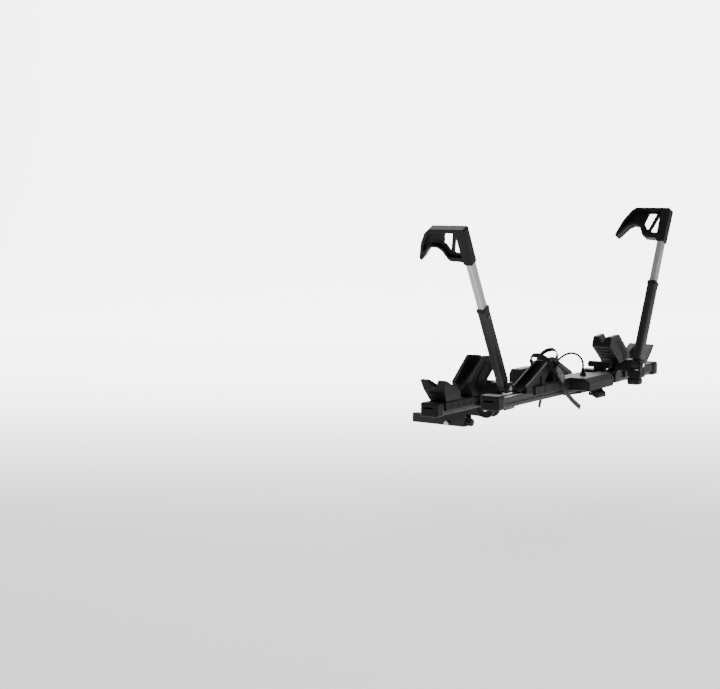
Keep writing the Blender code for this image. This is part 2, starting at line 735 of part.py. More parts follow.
def arm_base(tray):
    outline = [
        (-0.0395, -0.045), (-0.0395, -0.002), (-0.0535, -0.002), (-0.0535, 0.040), (-0.075, 0.060),
        (-0.100, 0.068), (-0.105, 0.082), (-0.1425, 0.082), (-0.1425, 0.026), (-0.1875, 0.026),
        (-0.1875, 0.082), (-0.199, 0.082), (-0.199, -0.006), (-0.193, -0.012), (-0.138, -0.012),
        (-0.130, -0.004), (-0.128, 0.014), (-0.120, 0.022), (-0.076, 0.022), (-0.066, 0.012),
        (-0.058, -0.045),
    ]
    base = sheet(tray.name + "_arm_base", [outline], 0.062, across(tray, tray.arm), "black_plastic", 0.002)
    hole = rod(
        tray.name + "_bolt_hole", BOLT_HOLE, 0.100, spot(tray, tray.arm, -0.160, ARM_W), Y, None, 16
    )
    carve(base, hole)
    box(
        tray.name + "_arm_ratchet_cover", (0.054, 0.068, 0.036), spot(tray, tray.arm, -0.156, -0.0305),
        "black_plastic", 0.008,
    )
    turned(tray.name + "_arm_pivot_bolt", (
        (0.0, 0.045), (0.009, 0.045), (0.011, 0.043), (0.011, 0.0385), (BOLT_RADIUS, 0.0385),
        (BOLT_RADIUS, -0.048), (0.0, -0.048),
    ), plane(spot(tray, tray.arm, -0.161, ARM_W), X, Z), "zinc", 16)


def arm(tray):
    """The outer tube with its knuckle and collar, which turn together on the pivot bolt."""
    knuckle = rod(tray.name + "_arm_knuckle", 0.025, 0.042, arm_spot(tray, 0.0), Y, "black_paint", 24)
    sideways = arm_axis(tray).cross(Y)
    stub = box(
        tray.name + "_knuckle_stub", (0.0335, 0.0455, 0.070), arm_spot(tray, 0.042), right=Y, up=sideways
    )
    hole = rod(tray.name + "_knuckle_hole", BOLT_HOLE, 0.1, arm_spot(tray, 0.0), Y, None, 16)
    add(knuckle, stub)
    carve(knuckle, hole)
    across_v, deep = ARM_TUBE
    tube = sheet(
        tray.name + "_arm_outer_tube",
        [
            rounded(across_v, deep, 0.007),
            rounded(across_v - 2 * ARM_WALL, deep - 2 * ARM_WALL, 0.002, 1),
        ],
        ARM_END - ARM_START, arm_section(tray, (ARM_START + ARM_END) / 2), "black_anodised",
    )
    collar = sheet(
        tray.name + "_arm_collar",
        [
            rounded(across_v + 0.004, deep + 0.004, 0.008),
            rounded(INNER_TUBE[0] + 0.001, INNER_TUBE[1] + 0.001, 0.005),
        ],
        COLLAR_END - ARM_END - GAP, arm_section(tray, (ARM_END + COLLAR_END + GAP) / 2), "black_plastic",
    )
    button_hole = box(
        tray.name + "_button_hole", (0.012, 0.0128, 0.0188),
        arm_spot(tray, BUTTON_AT) - Y * across_v / 2, right=Y, up=sideways,
    )
    carve(tube, button_hole)
    button_at = arm_spot(tray, BUTTON_AT) - Y * (across_v / 2 + 0.00175)
    button = box(
        tray.name + "_arm_release_button", (0.0055, 0.012, 0.018), button_at, "grey_plastic", 0.001,
        right=Y, up=sideways,
    )
    hang(joint_empty(tray.name + "_arm_axis", arm_spot(tray, 0.0)), knuckle, tube, collar)
    hang(joint_empty(tray.name + "_button_slide", button_at), button)


def hook(tray):
    """The sliding inner tube and the hook that it carries over the wheel."""
    end = tray.reach + SOCKET_DEPTH
    wide, deep = INNER_TUBE
    tube = sheet(
        tray.name + "_arm_inner_tube",
        [rounded(wide, deep, 0.005), rounded(wide - 2 * INNER_WALL, deep - 2 * INNER_WALL, 0.003, 1)],
        end - INNER_START, arm_section(tray, (end + INNER_START) / 2), "silver_anodised",
    )
    origin = arm_spot(tray, tray.reach) - Y * ARM_V
    frame = plane(origin, Y, arm_axis(tray))
    raised = [(v, h + PAD_THICKNESS + GAP) for v, h in HOOK_ARCH[1:-1]]
    outline = [HOOK_ARCH[0], *raised, HOOK_ARCH[-1], *HOOK_REST]
    frame_part = sheet(tray.name + "_hook", [outline], HOOK_DEPTH, frame, "black_plastic", 0.003)
    square = frame.col[2].to_3d()
    pocket_depth = (HOOK_DEPTH - HOOK_WEB) / 2
    for side in (-1, 1):
        shift = square * side * (HOOK_WEB + pocket_depth + 0.004) / 2
        pocket = sheet(
            f"{tray.name}_hook_pocket_{side}", [HOOK_POCKET], pocket_depth + 0.004,
            plane(origin + shift, Y, arm_axis(tray)),
        )
        carve(frame_part, pocket)
    for number, window in enumerate(HOOK_WINDOWS):
        carve(frame_part, sheet(f"{tray.name}_hook_window_{number}", [window], 0.08, frame))
    socket = sheet(
        tray.name + "_hook_socket", [rounded(wide + 0.0008, deep + 0.0008, 0.0052)], 0.130,
        arm_section(tray, tray.reach + SOCKET_DEPTH + GAP - 0.065),
    )
    carve(frame_part, socket)
    lower = HOOK_ARCH[1:-1]
    upper = [(v, h + PAD_THICKNESS) for v, h in reversed(lower)]
    pad = sheet(tray.name + "_hook_pad", [[*lower, *upper]], HOOK_DEPTH - 0.008, frame, "rubber")
    hang(joint_empty(tray.name + "_hook_slide", arm_spot(tray, tray.reach)), tube, frame_part, pad)


# Rear wheel holder

def strap_frame(tray):
    """Strap directions: down the strap's width, and up the strap towards the rear of the wheel."""
    up = Vector((-tray.side * math.cos(STRAP_LEAN), 0.0, math.sin(STRAP_LEAN)))
    width = Vector((tray.side * math.sin(STRAP_LEAN), 0.0, math.cos(STRAP_LEAN)))
    return spot(tray, STRAP_AT[0], 0, STRAP_AT[1]), up, width


def rear_holder(tray):
    outline = from_side(tray, (
        (-0.565, GAP), (-0.565, 0.030), (-0.350, 0.132), (-0.310, 0.128), (-0.268, 0.072), (-0.242, GAP),
    ))
    holder = sheet(
        tray.name + "_rear_holder", [outline], 2 * HOLDER_HALF, along(tray), "black_plastic", 0.003
    )
    for side in (-1, 1):
        skirt = box(
            f"{tray.name}_holder_skirt_{side}", (0.240, 0.0076, 0.040),
            spot(tray, -0.372, side * (BEAM_WIDTH / 2 + 0.0045), 0.002),
        )
        add(holder, skirt)
    window = from_side(tray, ((-0.400, 0.030), (-0.300, 0.030), (-0.312, 0.078), (-0.345, 0.084)))
    carve(
        holder, wheel_space(tray, "rear", REAR_HUB, 0.010),
        sheet(tray.name + "_holder_window", [window], 0.2, along(tray)),
    )
    return holder


def strap(tray):
    origin, up, _ = strap_frame(tray)
    frame = plane(origin, Y, up)
    arch = [
        (STRAP_HALF * math.cos(angle), STRAP_RISE + STRAP_ARCH * math.sin(angle))
        for angle in (math.pi * step / 10 for step in range(11))
    ]
    line = [(STRAP_HALF, -0.030), *arch, (-STRAP_HALF, -0.060)]
    band = sheet(
        tray.name + "_strap", [ribbon(line, STRAP_THICKNESS)], STRAP_WIDTH, frame, "strap_black"
    )
    tail_u, tail_w = tray.tail
    path = [
        (-0.300, 0.0755), (-0.262, 0.0435), (-0.226, 0.008), (-0.206, -0.030),
        ((tail_u - 0.206) / 2, tail_w * 0.65), (tail_u, tail_w),
    ]
    tail = sheet(
        tray.name + "_strap_tail", [from_side(tray, ribbon(path, STRAP_WIDTH))], STRAP_THICKNESS,
        along(tray, -STRAP_HALF),
    )
    return add(band, tail)


def buckle(tray):
    origin, up, width = strap_frame(tray)
    inner = -STRAP_HALF - STRAP_THICKNESS / 2 - 0.0006
    floor, ear = inner - 0.003, inner - 0.0215
    outline = [
        (-0.0185, inner), (0.0185, inner), (0.0185, ear), (0.0155, ear), (0.0155, floor),
        (-0.0155, floor), (-0.0155, ear), (-0.0185, ear),
    ]
    base = sheet(
        tray.name + "_buckle", [outline], 0.072, plane(origin + up * 0.016, width, Y), "black_plastic"
    )
    side_view = [
        (-0.0650, 0.0185), (-0.0615, 0.0140), (-0.0615, -0.086), (-0.066, -0.092), (-0.072, -0.088),
        (-0.0745, -0.060), (-0.0745, 0.012), (-0.0690, 0.0185),
    ]
    lever = sheet(
        tray.name + "_buckle_lever", [side_view], 0.0285, plane(origin, Y, up), "grey_plastic", 0.001
    )
    pivot = origin - Y * LEVER_OUT + up * LEVER_PIVOT
    hang(joint_empty(tray.name + "_buckle_axis", pivot), lever)
    return base


def build_tray(tray):
    beam(tray)
    end_cap(tray, "front", tray.front)
    end_cap(tray, "rear", -tray.rear)
    cradle_base(tray)
    inner_chock(tray)
    outer_chock(tray)
    arm_base(tray)
    arm(tray)
    hook(tray)
    slide = joint_empty(tray.name + "_holder_slide", spot(tray, STRAP_AT[0], 0, 0))
    hang(slide, rear_holder(tray), strap(tray), buckle(tray))


def main():
    hitch_bar()
    hitch_pin()
    anti_wobble_knob()
    neck()
    tilt_pivot_bolt()
    pivot_housing()
    spine()
    spine_clamp(TRAYS[0], CLAMP_FOOT)
    spine_clamp(TRAYS[1])
    rear_cover()
    tilt_handle()
    centre_block()
    for tray in TRAYS:
        build_tray(tray)
    security_cable()
    hang_from_tilt_axis()


def hang_from_tilt_axis():
    """Everything behind the tilt pivot turns with the spine."""
    fixed = ("hitch", "neck", "tilt_pivot_bolt", "anti_wobble")
    loose = [item for item in RACK.objects if item.parent is None and not item.name.startswith(fixed)]
    hang(joint_empty("tilt_axis", PIVOT), *loose)


clear_scene()
RACK = collection("hitch_bike_rack")
CUTTERS = collection("cutters")
main()
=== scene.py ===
"""The looks of the hitch bike rack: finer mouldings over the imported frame, finishes, light and camera.

Each tray is described in its own terms, as in the part: u runs from the rack's middle towards the
front wheel end, v towards the car and w up from the top of the beam, all in metres.
"""

import json
import math
from collections import namedtuple

import bmesh
import bpy
from mathutils import Matrix, Vector


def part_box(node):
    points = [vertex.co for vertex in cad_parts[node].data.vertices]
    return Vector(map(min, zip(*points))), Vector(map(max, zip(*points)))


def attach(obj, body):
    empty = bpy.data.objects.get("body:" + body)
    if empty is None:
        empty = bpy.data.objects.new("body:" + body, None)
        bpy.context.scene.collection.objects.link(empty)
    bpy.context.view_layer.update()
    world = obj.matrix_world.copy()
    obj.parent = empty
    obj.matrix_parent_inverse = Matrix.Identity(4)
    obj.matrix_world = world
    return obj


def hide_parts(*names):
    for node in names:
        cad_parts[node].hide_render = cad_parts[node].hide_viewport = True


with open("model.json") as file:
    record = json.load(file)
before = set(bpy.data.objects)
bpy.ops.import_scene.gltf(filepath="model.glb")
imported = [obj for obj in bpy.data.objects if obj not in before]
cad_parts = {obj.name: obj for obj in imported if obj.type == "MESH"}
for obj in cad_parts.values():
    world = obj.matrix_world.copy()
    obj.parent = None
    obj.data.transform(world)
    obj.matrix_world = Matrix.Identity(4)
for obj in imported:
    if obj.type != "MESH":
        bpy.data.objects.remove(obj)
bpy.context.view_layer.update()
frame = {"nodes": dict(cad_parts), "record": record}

X, Y, Z = Vector((1, 0, 0)), Vector((0, 1, 0)), Vector((0, 0, 1))
GAP = 0.0004

# The camera's direction, level and downwards, and the floor that lies below and behind the rack
YAW, PITCH = 0.6219, 0.1039
FACING = Vector((math.cos(YAW), math.sin(YAW), 0.0))
FLOOR_LEVEL = -0.44

# What the record says of each node
BODY_OF = {
    node: body for body, nodes in frame["record"]["behaviour"]["bodies"].items() for node in nodes
}
SLOT_OF = {entry["node"]: entry["material_slot"] for entry in frame["record"]["subparts"]}

# The part's own dimensions
HITCH = 0.0508
PIVOT = (0.0, -0.465, 0.086)
SPINE_WIDTH, SPINE_END = 0.060, -1.046
SPINE_TOP_AT_INNER, SPINE_SLOPE = 0.202, 0.185
Tray = namedtuple("Tray", "name y top side front rear arm lean reach tail")
TRAYS = (
    Tray("inner", -0.617, 0.2065, -1, 0.820, 0.900, 0.393, math.radians(27.3), 0.700, (-0.172, -0.120)),
    Tray("outer", -0.967, 0.2713, 1, 0.890, 0.850, 0.366, math.radians(23.5), 0.680, (-0.040, -0.130)),
)
BEAM_HALF, BEAM_HEIGHT = 0.038, 0.050
CAP_LENGTH, CAP_HEIGHT, CAP_MIDDLE = 0.078, 0.070, -0.019
WHEEL_RADIUS = 0.3735
FRONT_HUB = (0.6065, 0.4145)
REAR_HUB = (-0.5943, 0.3735)
ARM_V, ARM_W = -0.165, 0.056
ARM_TUBE = (0.042, 0.054)
ARM_WALL = 0.003
ARM_START, ARM_END, COLLAR_END = 0.027, 0.440, 0.458
INNER_TUBE = (0.032, 0.044)
INNER_WALL = 0.0025
INNER_START, SOCKET_DEPTH = 0.300, 0.060
BUTTON_AT = 0.405
HOOK_DEPTH, HOOK_WEB = 0.050, 0.012
PAD_THICKNESS = 0.004
HOLDER_HALF = 0.040
STRAP_AT = (-0.315, 0.088)
STRAP_LEAN = math.radians(40)
STRAP_HALF, STRAP_WIDTH, STRAP_THICKNESS = 0.052, 0.025, 0.003
STRAP_RISE, STRAP_ARCH = 0.050, 0.068
COVER_HALF, COVER_REAR, COVER_SIDE = 0.19, -1.112, -0.12
BLOCK_AT, BLOCK_LENGTH = 0.088, 0.160
HANDLE_PIVOT = (0.0, -1.084, 0.224)
GLAND_AT = (0.0, -1.011, 0.3004)

# The security cable: over the gap between the trays and onto the inner one
CABLE_DIAMETER = 0.011
CABLE_STEP = 0.012
CABLE_ROUTE = (
    (0.000, -1.011, 0.3352), (0.000, -1.011, 0.348), (0.000, -1.009, 0.366), (-0.003, -1.001, 0.386),
    (-0.009, -0.985, 0.402), (-0.017, -0.962, 0.410), (-0.026, -0.936, 0.406), (-0.034, -0.911, 0.391),
    (-0.041, -0.889, 0.369), (-0.046, -0.869, 0.343), (-0.050, -0.849, 0.316), (-0.053, -0.827, 0.291),
    (-0.055, -0.801, 0.269), (-0.056, -0.771, 0.2505), (-0.056, -0.738, 0.236), (-0.057, -0.705, 0.2245),
    (-0.061, -0.676, 0.2158), (-0.075, -0.652, 0.2128), (-0.103, -0.642, 0.2124), (-0.134, -0.642, 0.2124),
    (-0.166, -0.648, 0.2124), (-0.198, -0.650, 0.2124), (-0.228, -0.638, 0.2124), (-0.247, -0.612, 0.2124),
    (-0.246, -0.581, 0.2124), (-0.225, -0.557, 0.2124), (-0.194, -0.548, 0.2124), (-0.163, -0.556, 0.2124),
    (-0.139, -0.577, 0.2124), (-0.118, -0.596, 0.2124), (-0.096, -0.607, 0.2124),
)
LOCK_RADIUS, LOCK_LENGTH = 0.013, 0.062


# Camera and light

def camera():
    """Behind the car's left corner, at standing height."""
    way = Vector((
        math.cos(YAW) * math.cos(PITCH), math.sin(YAW) * math.cos(PITCH), -math.sin(PITCH)
    ))
    data = bpy.data.cameras.new("camera")
    data.lens = 74.92
    data.sensor_width = 36.0
    data.clip_end = 300.0
    item = bpy.data.objects.new("camera", data)
    item.rotation_euler = way.to_track_quat("-Z", "Y").to_euler()
    item.location = (-6.7376, -4.4601, 1.236)
    bpy.context.scene.collection.objects.link(item)
    bpy.context.scene.camera = item


def area_light(name, location, target, size, power):
    data = bpy.data.lights.new(name, "AREA")
    data.shape = "DISK"
    data.size = size
    data.energy = power
    item = bpy.data.objects.new(name, data)
    item.location = location
    way = Vector(target) - Vector(location)
    item.rotation_euler = way.to_track_quat("-Z", "Y").to_euler()
    bpy.context.scene.collection.objects.link(item)


def studio():
    """A pale floor and a glowing wall behind the rack, under a dim white sky."""
    world = bpy.data.worlds.new("studio")
    world.use_nodes = True
    sky = world.node_tree.nodes["Background"]
    sky.inputs["Color"].default_value = (1.0, 1.0, 1.0, 1.0)
    sky.inputs["Strength"].default_value = 0.18
    bpy.context.scene.world = world
    middle = (0.0, -0.7, 0.4)
    area_light("key", (-3.6, -4.6, 3.6), middle, 2.0, 45)
    area_light("car_side", (2.5, 3.5, 3.5), middle, 3.0, 50)
    area_light("overhead", (0.5, -0.8, 4.6), middle, 3.0, 60)
    sweep = sheet("studio_floor", [studio_sweep()], 120.0, plane((0, 0, FLOOR_LEVEL), FACING, Z))
    sweep.data.shade_smooth()
    sweep.data.materials.append(pale_paper())


def studio_sweep():
    """The side view of a floor that curves up into a wall."""
    radius, wall, back, front, height = 6.0, 16.0, -0.05, -20.0, 30.0
    curve = [
        (wall - radius + radius * math.sin(turn), radius - radius * math.cos(turn))
        for turn in (math.pi / 2 * step / 24 for step in range(25))
    ]
    inside = [(front, 0.0), *curve, (wall, height)]
    return [*inside, (wall - back, height), (wall - back, back), (front, back)]


def pale_paper():
    """White paper that glows behind the rack, less before it and far out to the sides."""
    made = bpy.data.materials.new("pale_paper")
    made.use_nodes = True
    tree = made.node_tree
    shader = tree.nodes["Principled BSDF"]
    shader.inputs["Base Color"].default_value = (0.86, 0.86, 0.86, 1.0)
    shader.inputs["Roughness"].default_value = 0.9
    shader.inputs["Emission Color"].default_value = (1.0, 1.0, 1.0, 1.0)
    place_at = tree.nodes.new("ShaderNodeTexCoord")
    ahead = tree.nodes.new("ShaderNodeSeparateXYZ")
    tree.links.new(place_at.outputs["Object"], ahead.inputs[0])
    glow = map_range(tree, ahead.outputs["X"], 1.0, 5.0, -1.0, 6.0, smooth=True)
    sideways = calculate(tree, "ABSOLUTE", ahead.outputs["Z"])
    fade = map_range(tree, sideways, 1.0, 0.08, 4.5, 10.0, smooth=True)
    tree.links.new(calculate(tree, "MULTIPLY", glow, fade), shader.inputs["Emission Strength"])
    return made


# Finishes

def new_finish(name, roughness, metallic=0.0):
    made = bpy.data.materials.new(name)
    made.use_nodes = True
    shader = made.node_tree.nodes["Principled BSDF"]
    shader.inputs["Metallic"].default_value = metallic
    shader.inputs["Roughness"].default_value = roughness
    shader.inputs["Specular IOR Level"].default_value = 0.18
    return made, made.node_tree, shader


def noise(tree, scale, detail, stretch=(1, 1, 1), roughness=0.55):
    nodes, links = tree.nodes, tree.links
    place_at = nodes.new("ShaderNodeTexCoord")
    mapping = nodes.new("ShaderNodeMapping")
    mapping.inputs["Scale"].default_value = stretch
    links.new(place_at.outputs["Object"], mapping.inputs["Vector"])
    texture = nodes.new("ShaderNodeTexNoise")
    texture.inputs["Scale"].default_value = scale
    texture.inputs["Detail"].default_value = detail
    texture.inputs["Roughness"].default_value = roughness
    links.new(mapping.outputs["Vector"], texture.inputs["Vector"])
    return texture.outputs["Fac"]


def ramp(tree, source, low, high, start=0.35, end=0.65):
    """Colours between low and high, as the source goes from start to end."""
    node = tree.nodes.new("ShaderNodeValToRGB")
    node.color_ramp.elements[0].position = start
    node.color_ramp.elements[1].position = end
    node.color_ramp.elements[0].color = (*low, 1.0)
    node.color_ramp.elements[1].color = (*high, 1.0)
    tree.links.new(source, node.inputs["Fac"])
    return node.outputs["Color"]


def map_range(tree, source, low, high, start=0.0, end=1.0, smooth=False):
    """Numbers between low and high, as the source goes from start to end."""
    node = tree.nodes.new("ShaderNodeMapRange")
    node.interpolation_type = "SMOOTHSTEP" if smooth else "LINEAR"
    limits = {"From Min": start, "From Max": end, "To Min": low, "To Max": high}
    for socket, value in limits.items():
        node.inputs[socket].default_value = value
    tree.links.new(source, node.inputs["Value"])
    return node.outputs["Result"]


def calculate(tree, operation, *sources):
    node = tree.nodes.new("ShaderNodeMath")
    node.operation = operation
    for socket, source in zip(node.inputs, sources):
        tree.links.new(source, socket)
    return node.outputs["Value"]


def vary_roughness(tree, shader, source, low, high):
    tree.links.new(map_range(tree, source, low, high), shader.inputs["Roughness"])


def bump(tree, shader, source, strength, distance):
    node = tree.nodes.new("ShaderNodeBump")
    node.inputs["Strength"].default_value = strength
    node.inputs["Distance"].default_value = distance
    tree.links.new(source, node.inputs["Height"])
    tree.links.new(node.outputs["Normal"], shader.inputs["Normal"])


def worn_edges(tree, body_colour, edge_colour):
    """The body's colour, a little paler where the surface turns a sharp corner."""
    geometry = tree.nodes.new("ShaderNodeNewGeometry")
    edge = map_range(tree, geometry.outputs["Pointiness"], 0.0, 1.0, 0.52, 0.60)
    mix = tree.nodes.new("ShaderNodeMix")
    mix.data_type = "RGBA"
    tree.links.new(edge, mix.inputs["Factor"])
    tree.links.new(body_colour, mix.inputs["A"])
    mix.inputs["B"].default_value = (*edge_colour, 1.0)
    return mix.outputs["Result"]


def moulded_plastic(name, dark, light, edge, roughness):
    made, tree, shader = new_finish(name, roughness)
    tone = ramp(tree, noise(tree, 14, 4), dark, light)
    tree.links.new(worn_edges(tree, tone, edge), shader.inputs["Base Color"])
    bump(tree, shader, noise(tree, 1500, 2), 0.15, 0.0001)
    vary_roughness(tree, shader, noise(tree, 60, 5), roughness - 0.07, roughness + 0.08)
    return made


def powder_coat(name, dark, light, edge):
    made, tree, shader = new_finish(name, 0.45)
    tone = ramp(tree, noise(tree, 9, 3), dark, light)
    tree.links.new(worn_edges(tree, tone, edge), shader.inputs["Base Color"])
    bump(tree, shader, noise(tree, 420, 3), 0.2, 0.0002)
    vary_roughness(tree, shader, noise(tree, 30, 4), 0.36, 0.50)
    shader.inputs["Coat Weight"].default_value = 0.05
    shader.inputs["Coat Roughness"].default_value = 0.3
    return made


def anodised(name, dark, light, edge, roughness, stretch, metallic=0.85):
    """Extruded aluminium, with the faint streaks of the die along its length."""
    made, tree, shader = new_finish(name, roughness, metallic)
    streaks = noise(tree, 260, 3, stretch)
    tone = ramp(tree, streaks, dark, light, 0.3, 0.7)
    tree.links.new(worn_edges(tree, tone, edge), shader.inputs["Base Color"])
    bump(tree, shader, streaks, 0.08, 0.0004)
    vary_roughness(tree, shader, noise(tree, 35, 5), roughness - 0.06, roughness + 0.08)
    return made


def zinc_plate(name):
    made, tree, shader = new_finish(name, 0.28, 1.0)
    tone = ramp(tree, noise(tree, 90, 4), (0.50, 0.50, 0.51), (0.68, 0.68, 0.69))
    tree.links.new(tone, shader.inputs["Base Color"])
    bump(tree, shader, noise(tree, 900, 3), 0.1, 0.0003)
    vary_roughness(tree, shader, noise(tree, 70, 5), 0.2, 0.38)
    return made


def soft_rubber(name, dark, light, roughness):
    made, tree, shader = new_finish(name, roughness)
    tone = ramp(tree, noise(tree, 45, 5), dark, light)
    tree.links.new(tone, shader.inputs["Base Color"])
    bump(tree, shader, noise(tree, 700, 3), 0.3, 0.0005)
    vary_roughness(tree, shader, noise(tree, 80, 4), roughness - 0.08, roughness + 0.08)
    return made


def make_finishes():
    along_arm = (1.0, 1.0, 0.03)
    return {
        "black_paint": powder_coat(
            "black_paint", (0.005, 0.005, 0.006), (0.009, 0.009, 0.010), (0.020, 0.020, 0.021)
        ),
        "black_plastic": moulded_plastic(
            "black_plastic", (0.004, 0.004, 0.005), (0.007, 0.007, 0.008), (0.016, 0.016, 0.017), 0.55
        ),
        "black_anodised": anodised(
            "black_anodised", (0.007, 0.007, 0.008), (0.013, 0.013, 0.014), (0.04, 0.04, 0.04),
            0.42, (0.03, 1.0, 1.0), 0.35,
        ),
        "silver_anodised": anodised(
            "silver_anodised", (0.34, 0.34, 0.35), (0.44, 0.44, 0.45), (0.50, 0.50, 0.50),
            0.42, along_arm, 0.7,
        ),
        "rubber": soft_rubber("rubber", (0.009, 0.009, 0.009), (0.015, 0.015, 0.015), 0.8),
        "grey_plastic": moulded_plastic(
            "grey_plastic", (0.075, 0.075, 0.078), (0.105, 0.105, 0.108), (0.17, 0.17, 0.17), 0.45
        ),
        "zinc": zinc_plate("zinc"),
        "strap_black": soft_rubber("strap_black", (0.010, 0.010, 0.011), (0.018, 0.018, 0.019), 0.5),
        "cable_sleeve": soft_rubber("cable_sleeve", (0.007, 0.007, 0.008), (0.012, 0.012, 0.013), 0.55),
    }


# Basic shapes. Each maker returns a mesh object; cutters are named with a leading underscore.

def as_mesh(name, shape):
    mesh = bpy.data.meshes.new(name)
    shape.to_mesh(mesh)
    shape.free()
    return mesh


def place(name, mesh, placing):
    item = bpy.data.objects.new(name, mesh)
    item.matrix_world = placing
    bpy.context.scene.collection.objects.link(item)
    return item


def plane(origin, right, up):
    """A frame whose x and y axes are right and up, and whose z axis is square to both."""
    right, up = Vector(right).normalized(), Vector(up).normalized()
    made = Matrix((right, up, right.cross(up))).transposed().to_4x4()
    made.translation = origin
    return made


def facing(origin, axis):
    """A frame whose z axis is the given one."""
    axis = Vector(axis).normalized()
    helper = X if abs(axis.x) < 0.9 else Y
    right = helper.cross(axis)
    return plane(origin, right, axis.cross(right))


def box(name, size, centre, right=X, up=Y, bevel=0.0):
    shape = bmesh.new()
    bmesh.ops.create_cube(shape, size=1.0, matrix=Matrix.Diagonal((*size, 1.0)))
    item = place(name, as_mesh(name, shape), plane(centre, right, up))
    return soften(item, bevel) if bevel else item


def rod(name, radius, length, centre, axis, sides=40, bevel=0.0):
    shape = bmesh.new()
    bmesh.ops.create_cone(
        shape, cap_ends=True, segments=sides, radius1=radius, radius2=radius, depth=length
    )
    item = place(name, as_mesh(name, shape), facing(centre, axis))
    return soften(item, bevel) if bevel else item


def turned(name, profile, placing, steps=48):
    """A profile of (radius, height) points, top to bottom, turned about the frame's z axis."""
    shape = bmesh.new()
    ring = [shape.verts.new((radius, 0.0, height)) for radius, height in profile]
    for above, below in zip(ring, ring[1:]):
        shape.edges.new((above, below))
    item = place(name, as_mesh(name, shape), placing)
    screw = item.modifiers.new("turned", "SCREW")
    screw.axis = "Z"
    screw.steps = screw.render_steps = steps
    screw.use_merge_vertices = True
    screw.merge_threshold = 0.0001
    screw.use_smooth_shade = False
    return item


def clean(mesh, nearness, flatness, outward=False):
    """Merges points that meet and the parts of each flat face; the angle is in degrees."""
    shape = bmesh.new()
    shape.from_mesh(mesh)
    bmesh.ops.remove_doubles(shape, verts=shape.verts, dist=nearness)
    if outward:
        bmesh.ops.recalc_face_normals(shape, faces=shape.faces)
    bmesh.ops.dissolve_limit(
        shape, angle_limit=math.radians(flatness), verts=shape.verts, edges=shape.edges
    )
    shape.to_mesh(mesh)
    shape.free()


def sheet(name, outlines, thickness, placing):
    """A flat outline, with holes where there are more outlines, thick both ways from its plane."""
    curve = bpy.data.curves.new(name, "CURVE")
    curve.dimensions = "2D"
    curve.fill_mode = "BOTH"
    curve.extrude = thickness / 2
    for points in outlines:
        spline = curve.splines.new("POLY")
        spline.points.add(len(points) - 1)
        for point, (across_at, up_at) in zip(spline.points, points):
            point.co = (across_at, up_at, 0.0, 1.0)
        spline.use_cyclic_u = True
    guide = bpy.data.objects.new(name + "_curve", curve)
    bpy.context.scene.collection.objects.link(guide)
    evaluated = guide.evaluated_get(bpy.context.evaluated_depsgraph_get())
    mesh = bpy.data.meshes.new_from_object(evaluated)
    mesh.materials.clear()
    clean(mesh, 0.00001, 0.5, outward=True)
    bpy.data.objects.remove(guide)
    return place(name, mesh, placing)


def soften(item, width, segments=3, angle=36):
    bevel = item.modifiers.new("rounded edges", "BEVEL")
    bevel.width = width
    bevel.segments = segments
    bevel.limit_method = "ANGLE"
    bevel.angle_limit = math.radians(angle)
    return item


def carve(item, *tools, operation="DIFFERENCE"):
    """Cuts the tools out of the item, or joins them to it, and uses them up."""
    for tool in tools:
        boolean = item.modifiers.new("cut", "BOOLEAN")
        boolean.operation = operation
        boolean.solver = "EXACT"
        boolean.object = tool
    settle(item)
    for tool in tools:
        bpy.data.objects.remove(tool)
    return item


def add(item, *tools):
    return carve(item, *tools, operation="UNION")


def settle(item):
    """Applies the item's modifiers, and merges each flat face that a cut has split."""
    evaluated = item.evaluated_get(bpy.context.evaluated_depsgraph_get())
    mesh = bpy.data.meshes.new_from_object(evaluated)
    item.modifiers.clear()
    item.data = mesh
    clean(mesh, 0.00002, 0.3)


def dress(item, body, slot, angle=38):
    """Puts a finished piece on its body, in the finish of a material slot."""
    settle(item)
    item.data.shade_smooth()
    item.data.set_sharp_from_angle(angle=math.radians(angle))
    item.modifiers.new("even shading", "WEIGHTED_NORMAL").keep_sharp = True
    item.data.materials.clear()
    item.data.materials.append(FINISHES[slot])
    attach(item, body)
    return item


def stand_for(item, node, angle=38):
    """A finished piece that takes a CAD node's place."""
    dress(item, BODY_OF[node], SLOT_OF[node], angle)
    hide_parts(node)
    return item


def mirrored(half):
    """A whole outline from its right half, listed top to bottom."""
    return [*half, *((-across_at, up_at) for across_at, up_at in reversed(half))]


def fillet(points, radius, steps=4):
    """An outline with its corners rounded, as far as its edges leave room."""
    made = []
    for number, here in enumerate(points):
        corner = Vector(here)
        back = Vector(points[number - 1]) - corner
        ahead = Vector(points[(number + 1) % len(points)]) - corner
        half = back.angle(ahead) / 2
        if half > math.radians(86):
            made.append(tuple(corner))
            continue
        reach = min(radius / math.tan(half), 0.48 * back.length, 0.48 * ahead.length)
        bisector = (back.normalized() + ahead.normalized()).normalized()
        centre = corner + bisector * (reach / math.cos(half))
        start = corner + back.normalized() * reach - centre
        end = corner + ahead.normalized() * reach - centre
        for step in range(steps + 1):
            share = step / steps
            spoke = start.lerp(end, share)
            made.append(tuple(centre + spoke.normalized() * start.length))
    return made


